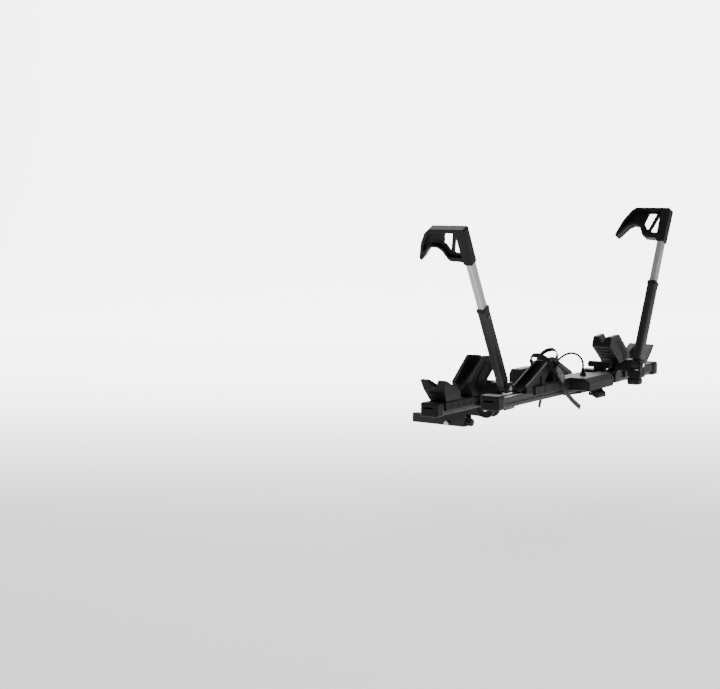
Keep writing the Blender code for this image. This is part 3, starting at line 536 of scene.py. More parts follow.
def grooved(width, height, radius, on_width=(), on_height=()):
    """A tube's outline. Each groove is (middle, half width, depth), on both faces of that side."""
    corner = [
        (radius * math.cos(angle), radius * math.sin(angle))
        for angle in (math.pi / 2 * step / 5 for step in range(6))
    ]

    def face(at, grooves):
        points = []
        for middle, half, depth in sorted(grooves):
            points += [
                (at, middle - half), (at - depth, middle - half * 0.55),
                (at - depth, middle + half * 0.55), (at, middle + half),
            ]
        return points

    made = []
    for turn in range(4):
        long_way = turn % 2 == 0
        at = (width if long_way else height) / 2
        other = (height if long_way else width) / 2
        grooves = on_height if long_way else on_width
        side = face(at, grooves)
        side += [(at - radius + dx, other - radius + dy) for dx, dy in corner]
        cos, sin = (1, 0, -1, 0)[turn], (0, 1, 0, -1)[turn]
        made += [(x * cos - y * sin, x * sin + y * cos) for x, y in side]
    return made


def ribbon(points, width):
    """The outline of a band of constant width along a line of points."""
    left, right = [], []
    for number, (x, y) in enumerate(points):
        before, after = points[max(number - 1, 0)], points[min(number + 1, len(points) - 1)]
        way = Vector((after[0] - before[0], after[1] - before[1])).normalized()
        left.append((x - way.y * width / 2, y + way.x * width / 2))
        right.append((x + way.y * width / 2, y - way.x * width / 2))
    return left + right[::-1]


def smooth_route(points, spacing):
    """Evenly spaced points on a smooth curve through the given ones."""
    points = [Vector(p) for p in points]
    ends = [2 * points[0] - points[1], *points, 2 * points[-1] - points[-2]]
    fine = []
    for before, start, end, after in zip(ends, ends[1:], ends[2:], ends[3:]):
        for step in range(16):
            t = step / 16
            fine.append(0.5 * (
                2 * start + (end - before) * t
                + (2 * before - 5 * start + 4 * end - after) * t ** 2
                + (3 * start - before - 3 * end + after) * t ** 3
            ))
    fine.append(points[-1])
    steps = [(b - a).length for a, b in zip(fine, fine[1:])]
    count = round(sum(steps) / spacing)
    chosen, travelled, wanted = [fine[0]], 0.0, 1
    for start, end, length in zip(fine, fine[1:], steps):
        while wanted < count and travelled + length >= wanted * sum(steps) / count:
            share = (wanted * sum(steps) / count - travelled) / length
            chosen.append(start.lerp(end, share))
            wanted += 1
        travelled += length
    return [*chosen, fine[-1]]


# Places on a tray

def spot(tray, u, v, w):
    return Vector((tray.side * u, tray.y + v, tray.top + w))


def across(tray, u):
    """The plane of a cross-section, in v and w."""
    return plane(spot(tray, u, 0, 0), Y, Z)


def along(tray, v=0.0):
    """The plane of a side view, in side * u and w."""
    return plane(spot(tray, 0, v, 0), X, Z)


def from_side(tray, points):
    return [(tray.side * u, w) for u, w in points]


def arm_axis(tray):
    return Vector((tray.side * math.sin(tray.lean), 0.0, math.cos(tray.lean)))


def arm_spot(tray, distance):
    return spot(tray, tray.arm, ARM_V, ARM_W) + arm_axis(tray) * distance


def arm_section(tray, distance):
    """The plane square to the arm, with x along v."""
    return plane(arm_spot(tray, distance), Y, arm_axis(tray).cross(Y))


def wheel_space(tray, hub, flare):
    """The wheel and the room beside it: a thin lens that flares towards the hub."""
    edge = (
        (0.0, 0.040 + flare), (WHEEL_RADIUS - 0.085, 0.034 + flare), (WHEEL_RADIUS - 0.050, 0.030),
        (WHEEL_RADIUS - 0.028, 0.028), (WHEEL_RADIUS - 0.018, 0.0245), (WHEEL_RADIUS - 0.010, 0.018),
        (WHEEL_RADIUS - 0.004, 0.0115), (WHEEL_RADIUS, 0.004),
    )
    profile = [*edge, *((radius, -half) for radius, half in reversed(edge))]
    return turned("_wheel", profile, plane(spot(tray, hub[0], 0, hub[1]), X, -Z), 180)


def screw_head(name, body, centre, normal, radius=0.0045, slot="zinc", recess=0.002):
    """A button-head screw with a hexagon socket."""
    normal = Vector(normal).normalized()
    head = turned(name, (
        (0.0, recess), (radius * 0.6, recess), (radius * 0.9, recess * 0.6), (radius, 0.0),
        (radius, -0.002), (0.0, -0.002),
    ), facing(centre, normal), 24)
    socket = rod("_socket", radius * 0.45, 0.003, Vector(centre) + normal * recess, normal, 6)
    carve(head, socket)
    return dress(head, body, slot)


# The cable lock

def cable():
    route = smooth_route(CABLE_ROUTE, CABLE_STEP)
    curve = bpy.data.curves.new("lock_cable", "CURVE")
    curve.dimensions = "3D"
    curve.bevel_depth = CABLE_DIAMETER / 2
    curve.bevel_resolution = 6
    curve.use_fill_caps = True
    spline = curve.splines.new("POLY")
    spline.points.add(len(route) - 1)
    for point, place_at in zip(spline.points, route):
        point.co = (*place_at, 1.0)
    spline.use_smooth = True
    item = bpy.data.objects.new("lock_cable", curve)
    bpy.context.scene.collection.objects.link(item)
    curve.materials.append(FINISHES["cable_sleeve"])
    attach(item, "rack")
    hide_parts("security_cable")
    head, relief = lock_head(route), gland()


def lock_head(route):
    way = (route[-1] - route[-2]).normalized()
    level = Vector((way.x, way.y, 0)).normalized()
    start = route[-1] + level * GAP
    start.z = TRAYS[0].top + LOCK_RADIUS + GAP
    half, r = LOCK_LENGTH / 2, LOCK_RADIUS
    head = turned("lock_head_body", (
        (0.0, half), (0.0045, half), (0.0045, half - 0.003), (0.0060, half - 0.003), (0.0060, half),
        (r - 0.003, half), (r - 0.001, half - 0.001), (r, half - 0.003), (r, 0.010), (r - 0.0012, 0.009),
        (r - 0.0012, 0.006), (r, 0.005), (r, -half + 0.008), (r - 0.002, -half + 0.003),
        (r - 0.005, -half), (0.0, -half),
    ), plane(start + level * half, Z, level.cross(Z)), 48)
    return stand_for(head, "lock_head")


def gland():
    """A threaded gland with a ribbed, tapering sleeve."""
    ribs = []
    for number in range(5):
        top = 0.0330 - number * 0.0042
        radius = 0.0086 + number * 0.00055
        ribs += [(radius, top), (radius, top - 0.0027), (radius - 0.0012, top - 0.0030)]
        ribs += [(radius - 0.0012, top - 0.0040)]
    relief = turned("cable_relief", (
        (0.0, 0.034), (0.0070, 0.034), (0.0084, 0.0335), *ribs, (0.0112, 0.0112), (0.0145, 0.0105),
        (0.0160, 0.0090), (0.0160, 0.0), (0.0, 0.0),
    ), plane(GLAND_AT, X, Y), 48)
    return stand_for(relief, "cable_gland")


# Trays

def beam(tray):
    outside = mirrored([
        (0.0050, -0.0050), (0.0125, -0.0050), (0.0125, 0.0), (0.0352, 0.0), (0.038, -0.0028),
        (0.038, -0.0175), (0.0345, -0.0190), (0.0345, -0.0310), (0.038, -0.0325), (0.038, -0.0475),
        (0.0352, -BEAM_HEIGHT),
    ])
    inside = mirrored([(0.030, -0.0085), (0.030, -0.0465)])
    front, rear = tray.front - CAP_LENGTH - GAP, tray.rear - CAP_LENGTH - GAP
    made = sheet(
        tray.name + "_beam_extrusion", [fillet(outside, 0.0010, 3), fillet(inside, 0.002, 3)],
        front + rear, across(tray, (front - rear) / 2),
    )
    stand_for(made, tray.name + "_beam", 25)


def end_cap(tray, name, end):
    way = 1 if end > 0 else -1
    outward = X * tray.side * way
    outline = fillet(mirrored([
        (0.041, 0.0), (0.049, -0.010), (0.049, -0.054), (0.0405, -CAP_LENGTH),
    ]), 0.010, 5)
    cap = sheet(
        f"{tray.name}_{name}_moulding", [outline], CAP_HEIGHT,
        plane(spot(tray, end, 0, CAP_MIDDLE), outward.cross(Z) * -1, outward),
    )
    settle(soften(cap, 0.011, 5, 50))
    slot = box("_slot", (0.044, 0.052, 0.009), spot(tray, end, 0, CAP_MIDDLE + 0.008), bevel=0.003)
    seam = end - way * 0.047
    parting = box("_parting", (0.0014, 0.2, 0.2), spot(tray, seam, 0, 0))
    core = box("_core", (0.004, 0.0950, 0.0660), spot(tray, seam, 0, CAP_MIDDLE), bevel=0.010)
    settle(core)
    carve(parting, core)
    carve(cap, slot, parting)
    stub_at = spot(tray, end - way * (CAP_LENGTH + 0.003), 0, -0.027)
    add(cap, box("_stub", (0.050, 0.0588, 0.0378), stub_at))
    soften(cap, 0.0006, 2, 60)
    stand_for(cap, f"{tray.name}_{name}_cap")
    screw_head(
        f"{tray.name}_{name}_screw", "rack", spot(tray, end + way * 0.0002, -0.026, CAP_MIDDLE - 0.020),
        outward, 0.0036, "black_paint", 0.0006,
    )


def cradle_base(tray):
    sleeve_end = tray.front - CAP_LENGTH - 0.004
    section = mirrored([
        (0.045, 0.014), (0.049, 0.010), (0.049, -0.030), (0.0386, -0.030), (0.0386, GAP),
    ])
    start = 0.475
    base = sheet(
        tray.name + "_cradle", [section], sleeve_end - start, across(tray, (start + sleeve_end) / 2)
    )
    settle(soften(base, 0.0016, 3))
    for number in range(4):
        u = 0.520 + number * 0.058
        carve(base, *(
            box("_notch", (0.034, 0.0040, 0.016), spot(tray, u, v, -0.011), bevel=0.0015)
            for v in (-0.0495, 0.0495)
        ))
    deck = box("_deck", (0.230, 0.075, 0.0116), spot(tray, 0.375, 0, GAP + 0.0058), bevel=0.0015)
    bar_u = 0.278
    web = box("_web", (0.024, 0.066, 0.044), spot(tray, bar_u, 0, 0.030), bevel=0.003)
    bar = rod("_bar", 0.0165, 0.132, spot(tray, bar_u, 0, 0.0545), Y)
    soften(bar, 0.006, 4, 60)
    for tool in (deck, web, bar):
        settle(tool)
    add(base, deck, web, bar)
    soften(base, 0.0008, 2, 50)
    stand_for(base, tray.name + "_cradle_base")


def inner_chock(tray):
    outline = from_side(tray, (
        (0.300, 0.197), (0.390, 0.205), (0.530, 0.084), (0.498, 0.0145), (0.425, 0.0145),
        (0.385, 0.066), (0.283, 0.148),
    ))
    chock = sheet(tray.name + "_tall_saddle", [fillet(outline, 0.006, 4)], 0.104, along(tray))
    along_u, down = 0.102, 0.082
    slope = Vector((tray.side * along_u, 0, -down)).normalized()
    start = spot(tray, 0.283, 0, 0.148)
    run = math.hypot(along_u, down)
    for number in range(4):
        middle = start + slope * run * (0.20 + 0.20 * number)
        carve(chock, box("_rib_gap", (0.016, 0.070, 0.007), middle, slope, Y, 0.002))
    for side in (-1, 1):
        recess = from_side(tray, (
            (0.330, 0.165), (0.385, 0.178), (0.480, 0.096), (0.470, 0.040), (0.425, 0.040), (0.392, 0.078),
            (0.330, 0.128),
        ))
        carve(chock, sheet("_recess", [fillet(recess, 0.008, 4)], 0.008, along(tray, side * 0.0535)))
        band = from_side(tray, ribbon(((0.352, 0.182), (0.440, 0.112), (0.476, 0.030)), 0.0035))
        add(chock, sheet("_band", [band], 0.0045, along(tray, side * 0.0497)))
    notch = sheet("_notch", [mirrored([(0.036, 0.216), (0.008, 0.170)])], 0.09, across(tray, 0.315))
    carve(chock, wheel_space(tray, FRONT_HUB, 0.006), notch)
    soften(chock, 0.0018, 3, 48)
    stand_for(chock, tray.name + "_inner_chock")
    for number, u in enumerate((0.432, 0.478)):
        screw_head(
            f"{tray.name}_saddle_screw_{number}", "rack", spot(tray, u, -0.0522, 0.026), -Y, 0.004,
            "black_paint", 0.001,
        )


def outer_chock(tray):
    outline = from_side(tray, (
        (0.600, 0.0145), (0.620, 0.054), (0.700, 0.092), (0.770, 0.122), (0.783, 0.116),
        (0.770, 0.072), (0.733, 0.0145),
    ))
    chock = sheet(tray.name + "_low_saddle", [fillet(outline, 0.005, 4)], 0.140, along(tray))
    for vertex in chock.data.vertices:
        vertex.co.z *= 0.62 + 0.38 * min(vertex.co.y / 0.115, 1.0)
    slope = Vector((tray.side * 0.037, 0, 0.0575)).normalized()
    for number in range(3):
        middle = spot(tray, 0.748 + 0.010 * number, 0, 0.034 + 0.026 * number)
        carve(chock, box("_rib_gap", (0.014, 0.070, 0.008), middle, slope, Y, 0.002))
    carve(chock, wheel_space(tray, FRONT_HUB, 0.022))
    soften(chock, 0.0016, 3, 48)
    stand_for(chock, tray.name + "_outer_chock")


def arm_base(tray):
    outline = fillet([
        (-0.0395, -0.045), (-0.0395, -0.002), (-0.0535, -0.002), (-0.0535, 0.040), (-0.075, 0.060),
        (-0.100, 0.068), (-0.105, 0.082), (-0.1425, 0.082), (-0.1425, 0.026), (-0.1875, 0.026),
        (-0.1875, 0.082), (-0.199, 0.082), (-0.199, -0.006), (-0.193, -0.012), (-0.138, -0.012),
        (-0.130, -0.004), (-0.128, 0.014), (-0.120, 0.022), (-0.076, 0.022), (-0.066, 0.012),
        (-0.058, -0.045),
    ], 0.004, 4)
    base = sheet(tray.name + "_arm_foot", [outline], 0.062, across(tray, tray.arm))
    settle(soften(base, 0.005, 4, 60))
    carve(
        base,
        rod("_bolt_hole", 0.0065, 0.100, spot(tray, tray.arm, -0.160, ARM_W), Y, 32),
        box("_panel", (0.040, 0.003, 0.050), spot(tray, tray.arm, -0.1992, 0.035), bevel=0.001),
    )
    soften(base, 0.0008, 2, 50)
    stand_for(base, tray.name + "_arm_base")
    cover_v, seam_w = -0.156, -0.0265
    cover = box(
        tray.name + "_ratchet_housing", (0.054, 0.068, 0.036), spot(tray, tray.arm, cover_v, -0.0305)
    )
    settle(soften(cover, 0.010, 5))
    seam = spot(tray, tray.arm, cover_v, seam_w)
    carve(cover, box("_line", (0.080, 0.090, 0.0012), seam))
    core = box("_core", (0.0510, 0.0650, 0.004), seam, bevel=0.0015)
    settle(core)
    add(cover, core)
    stand_for(cover, tray.name + "_arm_ratchet_cover")
    screw_head(
        tray.name + "_foot_screw", "rack", spot(tray, tray.arm - 0.017, -0.1992, 0.0), -Y, 0.0042,
        "black_paint", 0.0012,
    )


def arm(tray):
    across_v, deep = ARM_TUBE
    outside = grooved(
        across_v, deep, 0.007, ((0.0, 0.004, 0.0008),), ((-0.012, 0.0022, 0.0009), (0.012, 0.0022, 0.0009))
    )
    inside = grooved(across_v - 2 * ARM_WALL, deep - 2 * ARM_WALL, 0.002)
    tube = sheet(
        tray.name + "_outer_arm_tube", [outside, inside], ARM_END - ARM_START,
        arm_section(tray, (ARM_START + ARM_END) / 2),
    )
    sideways = arm_axis(tray).cross(Y)
    hole_at = arm_spot(tray, BUTTON_AT) - Y * across_v / 2
    carve(tube, box("_button_hole", (0.012, 0.0128, 0.0188), hole_at, Y, sideways))
    stand_for(tube, tray.name + "_arm_outer_tube", 28)
    collar = sheet(
        tray.name + "_collar_ring",
        [
            grooved(across_v + 0.004, deep + 0.004, 0.008),
            grooved(INNER_TUBE[0] + 0.001, INNER_TUBE[1] + 0.001, 0.005),
        ],
        COLLAR_END - ARM_END - GAP, arm_section(tray, (ARM_END + COLLAR_END + GAP) / 2),
    )
    soften(collar, 0.0018, 3, 60)
    stand_for(collar, tray.name + "_arm_collar")
    button_at = arm_spot(tray, BUTTON_AT) - Y * (across_v / 2 + 0.00175)
    button = box(tray.name + "_push_button", (0.0055, 0.012, 0.018), button_at, Y, sideways)
    settle(soften(button, 0.0016, 4))
    for number in range(3):
        groove_at = button_at - Y * 0.0030 + arm_axis(tray) * (number - 1) * 0.0045
        carve(button, box("_grip", (0.0016, 0.020, 0.0013), groove_at, Y, sideways))
    stand_for(button, tray.name + "_arm_release_button")


def hook_frame(tray):
    """The plane of a hook: v across, and height above its socket's end up the arm."""
    return plane(arm_spot(tray, tray.reach) - Y * ARM_V, Y, arm_axis(tray))


def hook(tray):
    end = tray.reach + SOCKET_DEPTH
    wide, deep = INNER_TUBE
    tube = sheet(
        tray.name + "_sliding_tube",
        [
            grooved(
                wide, deep, 0.005, ((0.0, 0.003, 0.0008),),
                ((-0.007, 0.0018, 0.0008), (0.007, 0.0018, 0.0008)),
            ),
            grooved(wide - 2 * INNER_WALL, deep - 2 * INNER_WALL, 0.003),
        ],
        end - INNER_START, arm_section(tray, (end + INNER_START) / 2),
    )
    stand_for(tube, tray.name + "_arm_inner_tube", 28)
    arch = (
        (-0.070, 0.021), (-0.058, 0.031), (-0.036, 0.076), (-0.012, 0.092),
        (0.012, 0.093), (0.030, 0.083), (0.086, 0.024),
    )
    rest = (
        (0.094, 0.020), (0.101, 0.034), (0.069, 0.116), (0.033, 0.170), (0.006, 0.190),
        (-0.184, 0.190), (-0.190, 0.183), (-0.187, 0.0), (-0.143, 0.0), (-0.139, 0.017),
    )
    raised = [(v, height + PAD_THICKNESS + GAP) for v, height in arch[1:-1]]
    outline = fillet([arch[0], *raised, arch[-1], *rest], 0.007, 5)
    placing = hook_frame(tray)
    made = sheet(tray.name + "_wheel_hook", [outline], HOOK_DEPTH, placing)
    settle(soften(made, 0.0045, 4, 60))
    pocket = fillet((
        (-0.140, 0.172), (0.000, 0.172), (0.020, 0.156), (0.054, 0.106), (0.080, 0.052),
        (0.037, 0.096), (0.014, 0.108), (-0.016, 0.106), (-0.046, 0.090), (-0.068, 0.044),
        (-0.140, 0.038),
    ), 0.005, 4)
    square = placing.col[2].to_3d()
    depth = (HOOK_DEPTH - HOOK_WEB) / 2
    for side in (-1, 1):
        shifted = placing.copy()
        shifted.translation = placing.translation + square * side * (HOOK_WEB + depth + 0.004) / 2
        carve(made, sheet("_pocket", [pocket], depth + 0.004, shifted))
    windows = (
        ((-0.068, 0.162), (-0.114, 0.162), (-0.082, 0.073), (-0.073, 0.070), (-0.050, 0.104)),
        ((-0.129, 0.152), (-0.138, 0.152), (-0.138, 0.052), (-0.093, 0.058)),
    )
    for window in windows:
        carve(made, sheet("_window", [fillet(window, 0.004, 4)], 0.08, placing))
    length = 0.130
    carve(made, sheet(
        "_socket", [grooved(wide + 0.0008, deep + 0.0008, 0.0052)], length,
        arm_section(tray, end + GAP - length / 2),
    ))
    soften(made, 0.0012, 3, 50)
    stand_for(made, tray.name + "_hook")
    lower = arch[1:-1]
    upper = [(v, height + PAD_THICKNESS) for v, height in reversed(lower)]
    pad = sheet(tray.name + "_wheel_pad", [[*lower, *upper]], HOOK_DEPTH - 0.008, placing)
    soften(pad, 0.0008, 2, 60)
    stand_for(pad, tray.name + "_hook_pad")
    for number, height in enumerate((0.062, 0.128)):
        for side in (-1, 1):
            centre = placing @ Vector((-0.163, height, side * HOOK_DEPTH / 2))
            screw_head(
                f"{tray.name}_hook_screw_{number}_{side + 1}", f"{tray.name}_hook", centre,
                square * side, 0.0036, "black_paint", 0.0005,
            )


# Rear wheel holder

def strap_axes(tray):
    up = Vector((-tray.side * math.cos(STRAP_LEAN), 0.0, math.sin(STRAP_LEAN)))
    width = Vector((tray.side * math.sin(STRAP_LEAN), 0.0, math.cos(STRAP_LEAN)))
    return spot(tray, STRAP_AT[0], 0, STRAP_AT[1]), up, width


def rear_holder(tray):
    outline = from_side(tray, (
        (-0.565, GAP), (-0.565, 0.030), (-0.350, 0.132), (-0.310, 0.128), (-0.268, 0.072), (-0.242, GAP),
    ))
    made = sheet(
        tray.name + "_wheel_holder", [fillet(outline, 0.005, 4)], 2 * HOLDER_HALF, along(tray)
    )
    for side in (-1, 1):
        skirt_at = spot(tray, -0.372, side * (BEAM_HALF + 0.0045), 0.002)
        add(made, box("_skirt", (0.240, 0.0076, 0.040), skirt_at, bevel=0.0015))
        for number in range(2):
            cut_at = spot(tray, -0.312 - 0.085 * number, side * 0.0470, 0.0)
            carve(made, box("_cut", (0.004, 0.010, 0.060), cut_at, bevel=0.001))
        recess = from_side(tray, ((-0.530, 0.020), (-0.420, 0.074), (-0.420, 0.020)))
        carve(made, sheet("_recess", [fillet(recess, 0.005, 4)], 0.010, along(tray, side * HOLDER_HALF)))
    window = from_side(tray, ((-0.400, 0.030), (-0.300, 0.030), (-0.312, 0.078), (-0.345, 0.084)))
    carve(
        made, wheel_space(tray, REAR_HUB, 0.010),
        sheet("_window", [fillet(window, 0.006, 4)], 0.2, along(tray)),
    )
    soften(made, 0.0016, 3, 48)
    stand_for(made, tray.name + "_rear_holder")


def strap(tray):
    """A ladder strap: a smooth band with ribs across its outer face, and its free tail."""
    origin, up, _ = strap_axes(tray)
    placing = plane(origin, Y, up)
    arch = [
        (STRAP_HALF * math.cos(angle), STRAP_RISE + STRAP_ARCH * math.sin(angle))
        for angle in (math.pi * step / 36 for step in range(37))
    ]
    line = [(STRAP_HALF, -0.030), *arch, (-STRAP_HALF, -0.060)]
    band = sheet(
        tray.name + "_ladder_strap", [ribbon(line, STRAP_THICKNESS)], STRAP_WIDTH, placing
    )
    tail_u, tail_w = tray.tail
    path = [
        (-0.300, 0.0755), (-0.262, 0.0435), (-0.226, 0.008), (-0.206, -0.030),
        ((tail_u - 0.206) / 2, tail_w * 0.65), (tail_u, tail_w),
    ]
    tail = sheet(
        "_tail", [from_side(tray, ribbon(path, STRAP_WIDTH))], STRAP_THICKNESS, along(tray, -STRAP_HALF)
    )
    add(band, tail)
    soften(band, 0.0005, 2, 50)
    stand_for(band, tray.name + "_strap")
    teeth(tray, placing, arch)


def teeth(tray, placing, arch):
    """Ribs across the strap, every few millimetres along the part that goes through the buckle."""
    shape = bmesh.new()
    spine_line = smooth_route([(x, y, 0.0) for x, y in arch[4:-3]], 0.0052)
    for before, here in zip(spine_line, spine_line[1:]):
        way = (here - before).normalized()
        out = Vector((way.y, -way.x, 0.0))
        middle = here + out * (STRAP_THICKNESS / 2 + 0.0004)
        placed = Matrix((way, out, way.cross(out))).transposed().to_4x4()
        placed.translation = middle
        size = Matrix.Diagonal((0.0022, 0.0016, STRAP_WIDTH * 0.62, 1.0))
        bmesh.ops.create_cube(shape, size=1.0, matrix=placed @ size)
    item = place(tray.name + "_strap_teeth", as_mesh("teeth", shape), placing)
    soften(item, 0.0004, 2)
    dress(item, tray.name + "_rear_holder", "strap_black")


def buckle(tray):
    origin, up, width = strap_axes(tray)
    inner = -STRAP_HALF - STRAP_THICKNESS / 2 - 0.0006
    floor, ear = inner - 0.003, inner - 0.0215
    placing = plane(origin + up * 0.016, width, Y)
    outline = [
        (-0.0185, inner), (0.0185, inner), (0.0185, ear), (0.0155, ear), (0.0155, floor),
        (-0.0155, floor), (-0.0155, ear), (-0.0185, ear),
    ]
    base = sheet(tray.name + "_buckle_frame", [outline], 0.072, placing)
    for end in (-1, 1):
        corner = box(
            "_corner", (0.08, 0.030, 0.030),
            origin + up * (0.016 + end * 0.040) - Y * (0.052 + 0.030), width,
            (Y * end * math.cos(math.radians(45)) + up * math.sin(math.radians(45))).normalized(),
        )
        carve(base, corner)
    soften(base, 0.0008, 2, 40)
    stand_for(base, tray.name + "_buckle")
    body = tray.name + "_rear_holder"
    pin = rod(
        tray.name + "_buckle_pin", 0.0022, 0.0385, origin - Y * 0.0675 + up * 0.010, width, 24, 0.0005
    )
    dress(pin, body, "zinc")
    side_view = fillet([
        (-0.0650, 0.0185), (-0.0615, 0.0140), (-0.0615, -0.086), (-0.066, -0.092), (-0.072, -0.088),
        (-0.0745, -0.060), (-0.0745, 0.012), (-0.0690, 0.0185),
    ], 0.0025, 4)
    lever = sheet(tray.name + "_ratchet_lever", [side_view], 0.0285, plane(origin, Y, up))
    settle(soften(lever, 0.0018, 3, 60))
    for number in range(5):
        at = origin - Y * 0.0748 + up * (-0.050 - 0.008 * number)
        carve(lever, box("_grip", (0.020, 0.0016, 0.0022), at, width, Y, 0.0004))
    hollow_at = origin - Y * 0.0748 - up * 0.020
    carve(lever, box("_hollow", (0.018, 0.004, 0.034), hollow_at, width, Y, 0.0012))
    stand_for(lever, tray.name + "_buckle_lever")


def build_tray(tray):
    beam(tray)
    end_cap(tray, "front", tray.front)
    end_cap(tray, "rear", -tray.rear)
    cradle_base(tray)
    inner_chock(tray)
    outer_chock(tray)
    arm_base(tray)
    arm(tray)
    hook(tray)
    rear_holder(tray)
    strap(tray)
    buckle(tray)


# Centre

def pivot_covers():
    """Ribbed round covers on the outside of the neck's two cheeks."""
    plate = 0.0084
    for side in (-1, 1):
        x = side * (HITCH / 2 + plate)
        cover = turned(f"pivot_cover_{side + 1}", (
            (0.0146, 0.0048), (0.018, 0.0048), (0.0185, 0.0030), (0.0430, 0.0030), (0.0440, 0.0048),
            (0.0475, 0.0048), (0.0485, 0.0040), (0.0485, 0.0), (0.0146, 0.0), (0.0146, 0.0048),
        ), plane((x, PIVOT[1], PIVOT[2]), Y * side, Z), 72)
        for number in range(16):
            angle = math.pi * 2 * number / 16
            way = Vector((0, math.cos(angle), math.sin(angle)))
            centre = Vector((x + side * 0.0022, *PIVOT[1:])) + way * 0.031
            add(cover, box("_rib", (0.0036, 0.0270, 0.0026), centre, X, way))
        soften(cover, 0.0005, 2, 50)
        dress(cover, "hitch", "black_plastic")


def rear_cover():
    tray = TRAYS[1]
    rear, front = COVER_REAR, tray.y + BEAM_HALF + 0.004
    beam_rear, beam_top = tray.y - BEAM_HALF - 0.001, tray.top + GAP
    top = GLAND_AT[2] - GAP
    outline = fillet([
        (rear, 0.240), (beam_rear, 0.232), (beam_rear, beam_top), (front, beam_top),
        (front, top - 0.010), (front - 0.010, top), (rear + 0.030, top), (rear, top - 0.018),
    ], 0.003, 4)
    cover = sheet("rear_shroud", [outline], 2 * COVER_HALF, plane((0, 0, 0), Y, Z))
    slant, taper = math.radians(38), math.radians(16)
    corner = box(
        "_corner", (0.10, 0.30, 0.2), (COVER_HALF + 0.004, -1.126, 0.27),
        Vector((math.cos(slant), -math.sin(slant), 0)), Vector((math.sin(slant), math.cos(slant), 0)),
    )
    over_beam = box("_end", (0.14, 0.09, 0.2), (0.195, beam_rear + 0.0445, 0.27))
    beside = box("_side", (0.12, 0.20, 0.2), (COVER_SIDE - 0.06, beam_rear - 0.10, 0.27))
    carve(cover, corner, over_beam, beside)
    for side in (-1, 1):
        carve(cover, box(
            "_taper", (0.20, 0.2, 0.06), (side * 0.175, -1.05, 0.224),
            Vector((math.cos(taper), 0, side * math.sin(taper))), Y,
        ))
    settle(soften(cover, 0.0035, 4, 30))
    carve(cover, spine_hollow())
    x, y, z = HANDLE_PIVOT
    for side in (-1, 1):
        add(cover, box("_lug", (0.010, 0.024, 0.042), (x + side * 0.0525, y, z + 0.007), bevel=0.002))
    carve(cover, rod("_lug_hole", 0.0035, 0.2, HANDLE_PIVOT, X, 24))
    carve(cover, box("_line", (2 * COVER_HALF, 0.0010, 0.004), (0, -1.040, top + 0.0008)))
    stand_for(cover, "rear_cover")
    for side in (-1, 1):
        screw_head(
            f"cover_screw_{side + 1}", "rack", (side * 0.098, -0.970, top), Z, 0.004, "black_paint", 0.001
        )


def spine_hollow():
    """Room for the spine's end under the cover."""
    rearward = Vector((0.0, -1.0, SPINE_SLOPE)).normalized()
    down = Vector((0.0, -SPINE_SLOPE, -1.0)).normalized()
    end = Vector((0.0, SPINE_END, SPINE_TOP_AT_INNER + SPINE_SLOPE * (TRAYS[0].y - SPINE_END)))
    centre = end + down * (SPINE_WIDTH - GAP) - rearward * (0.15 - 2 * GAP)
    return box("_hollow", (0.3, SPINE_WIDTH + 2 * GAP, 2 * SPINE_WIDTH), centre, rearward, X)


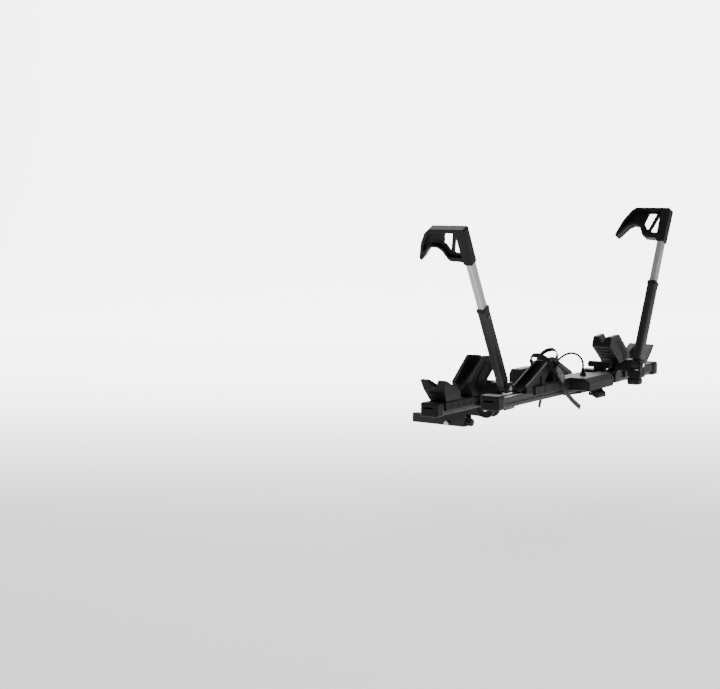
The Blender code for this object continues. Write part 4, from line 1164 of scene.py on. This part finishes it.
def tilt_handle():
    x, y, z = HANDLE_PIVOT
    side_view = fillet([
        (0.012, 0.008), (-0.010, 0.008), (-0.030, -0.002), (-0.036, -0.010), (-0.036, -0.026),
        (-0.028, -0.029), (0.012, -0.009),
    ], 0.004, 4)
    outline = [(y + behind, z + up) for behind, up in side_view]
    handle = sheet("tilt_pull", [outline], 0.090, plane((x, 0, 0), Y, Z))
    lean = math.radians(35)
    for side in (-1, 1):
        carve(handle, box(
            "_corner", (0.03, 0.06, 0.08), (x + side * 0.0545, y - 0.0415, z),
            Vector((math.cos(lean), -side * math.sin(lean), 0)),
            Vector((side * math.sin(lean), math.cos(lean), 0)),
        ))
    settle(soften(handle, 0.0022, 3, 40))
    carve(
        handle, box("_grip", (0.052, 0.014, 0.08), (x, y - 0.0180, z)),
        rod("_hole", 0.0035, 0.2, HANDLE_PIVOT, X, 24),
    )
    for number in range(7):
        rib_at = (x - 0.018 + number * 0.006, y - 0.0370, z - 0.018)
        carve(handle, box("_rib", (0.0022, 0.004, 0.030), rib_at))
    soften(handle, 0.0006, 2, 60)
    stand_for(handle, "tilt_handle")


def centre_block():
    tray = TRAYS[0]
    outline = fillet([
        (-0.0378, GAP), (0.0378, GAP), (0.0378, 0.070), (0.026, 0.096), (-0.026, 0.096), (-0.0378, 0.070),
    ], 0.004, 4)
    made = sheet("centre_box", [outline], BLOCK_LENGTH, plane((BLOCK_AT, tray.y, tray.top), Y, Z))
    settle(soften(made, 0.006, 4, 60))
    for side in (-1, 1):
        panel_at = (BLOCK_AT, tray.y + side * 0.0378, tray.top + 0.038)
        carve(made, box("_panel", (0.120, 0.0024, 0.044), panel_at, bevel=0.001))
    lid_at = (BLOCK_AT, tray.y, tray.top + 0.0700)
    carve(made, box("_lid", (0.2, 0.2, 0.0012), lid_at))
    add(made, box("_core", (0.154, 0.0716, 0.004), lid_at))
    stand_for(made, "inner_centre_block")


def anti_wobble_knob():
    low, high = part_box("anti_wobble_knob")
    start, radius, swell, lobe_count = high.y, high.x, 0.0016, 8
    length = start - low.y
    lobes = []
    for step in range(160):
        angle = 2 * math.pi * step / 160
        reach = radius - swell + swell * math.cos(lobe_count * angle)
        lobes.append((reach * math.cos(angle), reach * math.sin(angle)))
    knob = sheet("anti_wobble_grip", [lobes], length, plane((0, start - length / 2, 0), X, Z))
    settle(soften(knob, 0.004, 4, 60))
    carve(knob, rod("_bore", 0.0064, 0.040, (0, start, 0), Y, 32))
    stand_for(knob, "anti_wobble_knob", 50)


def show_bare_nodes():
    """Finishes for the CAD nodes that stay."""
    for name, item in frame["nodes"].items():
        item.data.materials.clear()
        item.data.materials.append(FINISHES[SLOT_OF[name]])


FINISHES = make_finishes()
camera()
studio()
cable()
show_bare_nodes()
for each in TRAYS:
    build_tray(each)
pivot_covers()
rear_cover()
tilt_handle()
centre_block()
anti_wobble_knob()
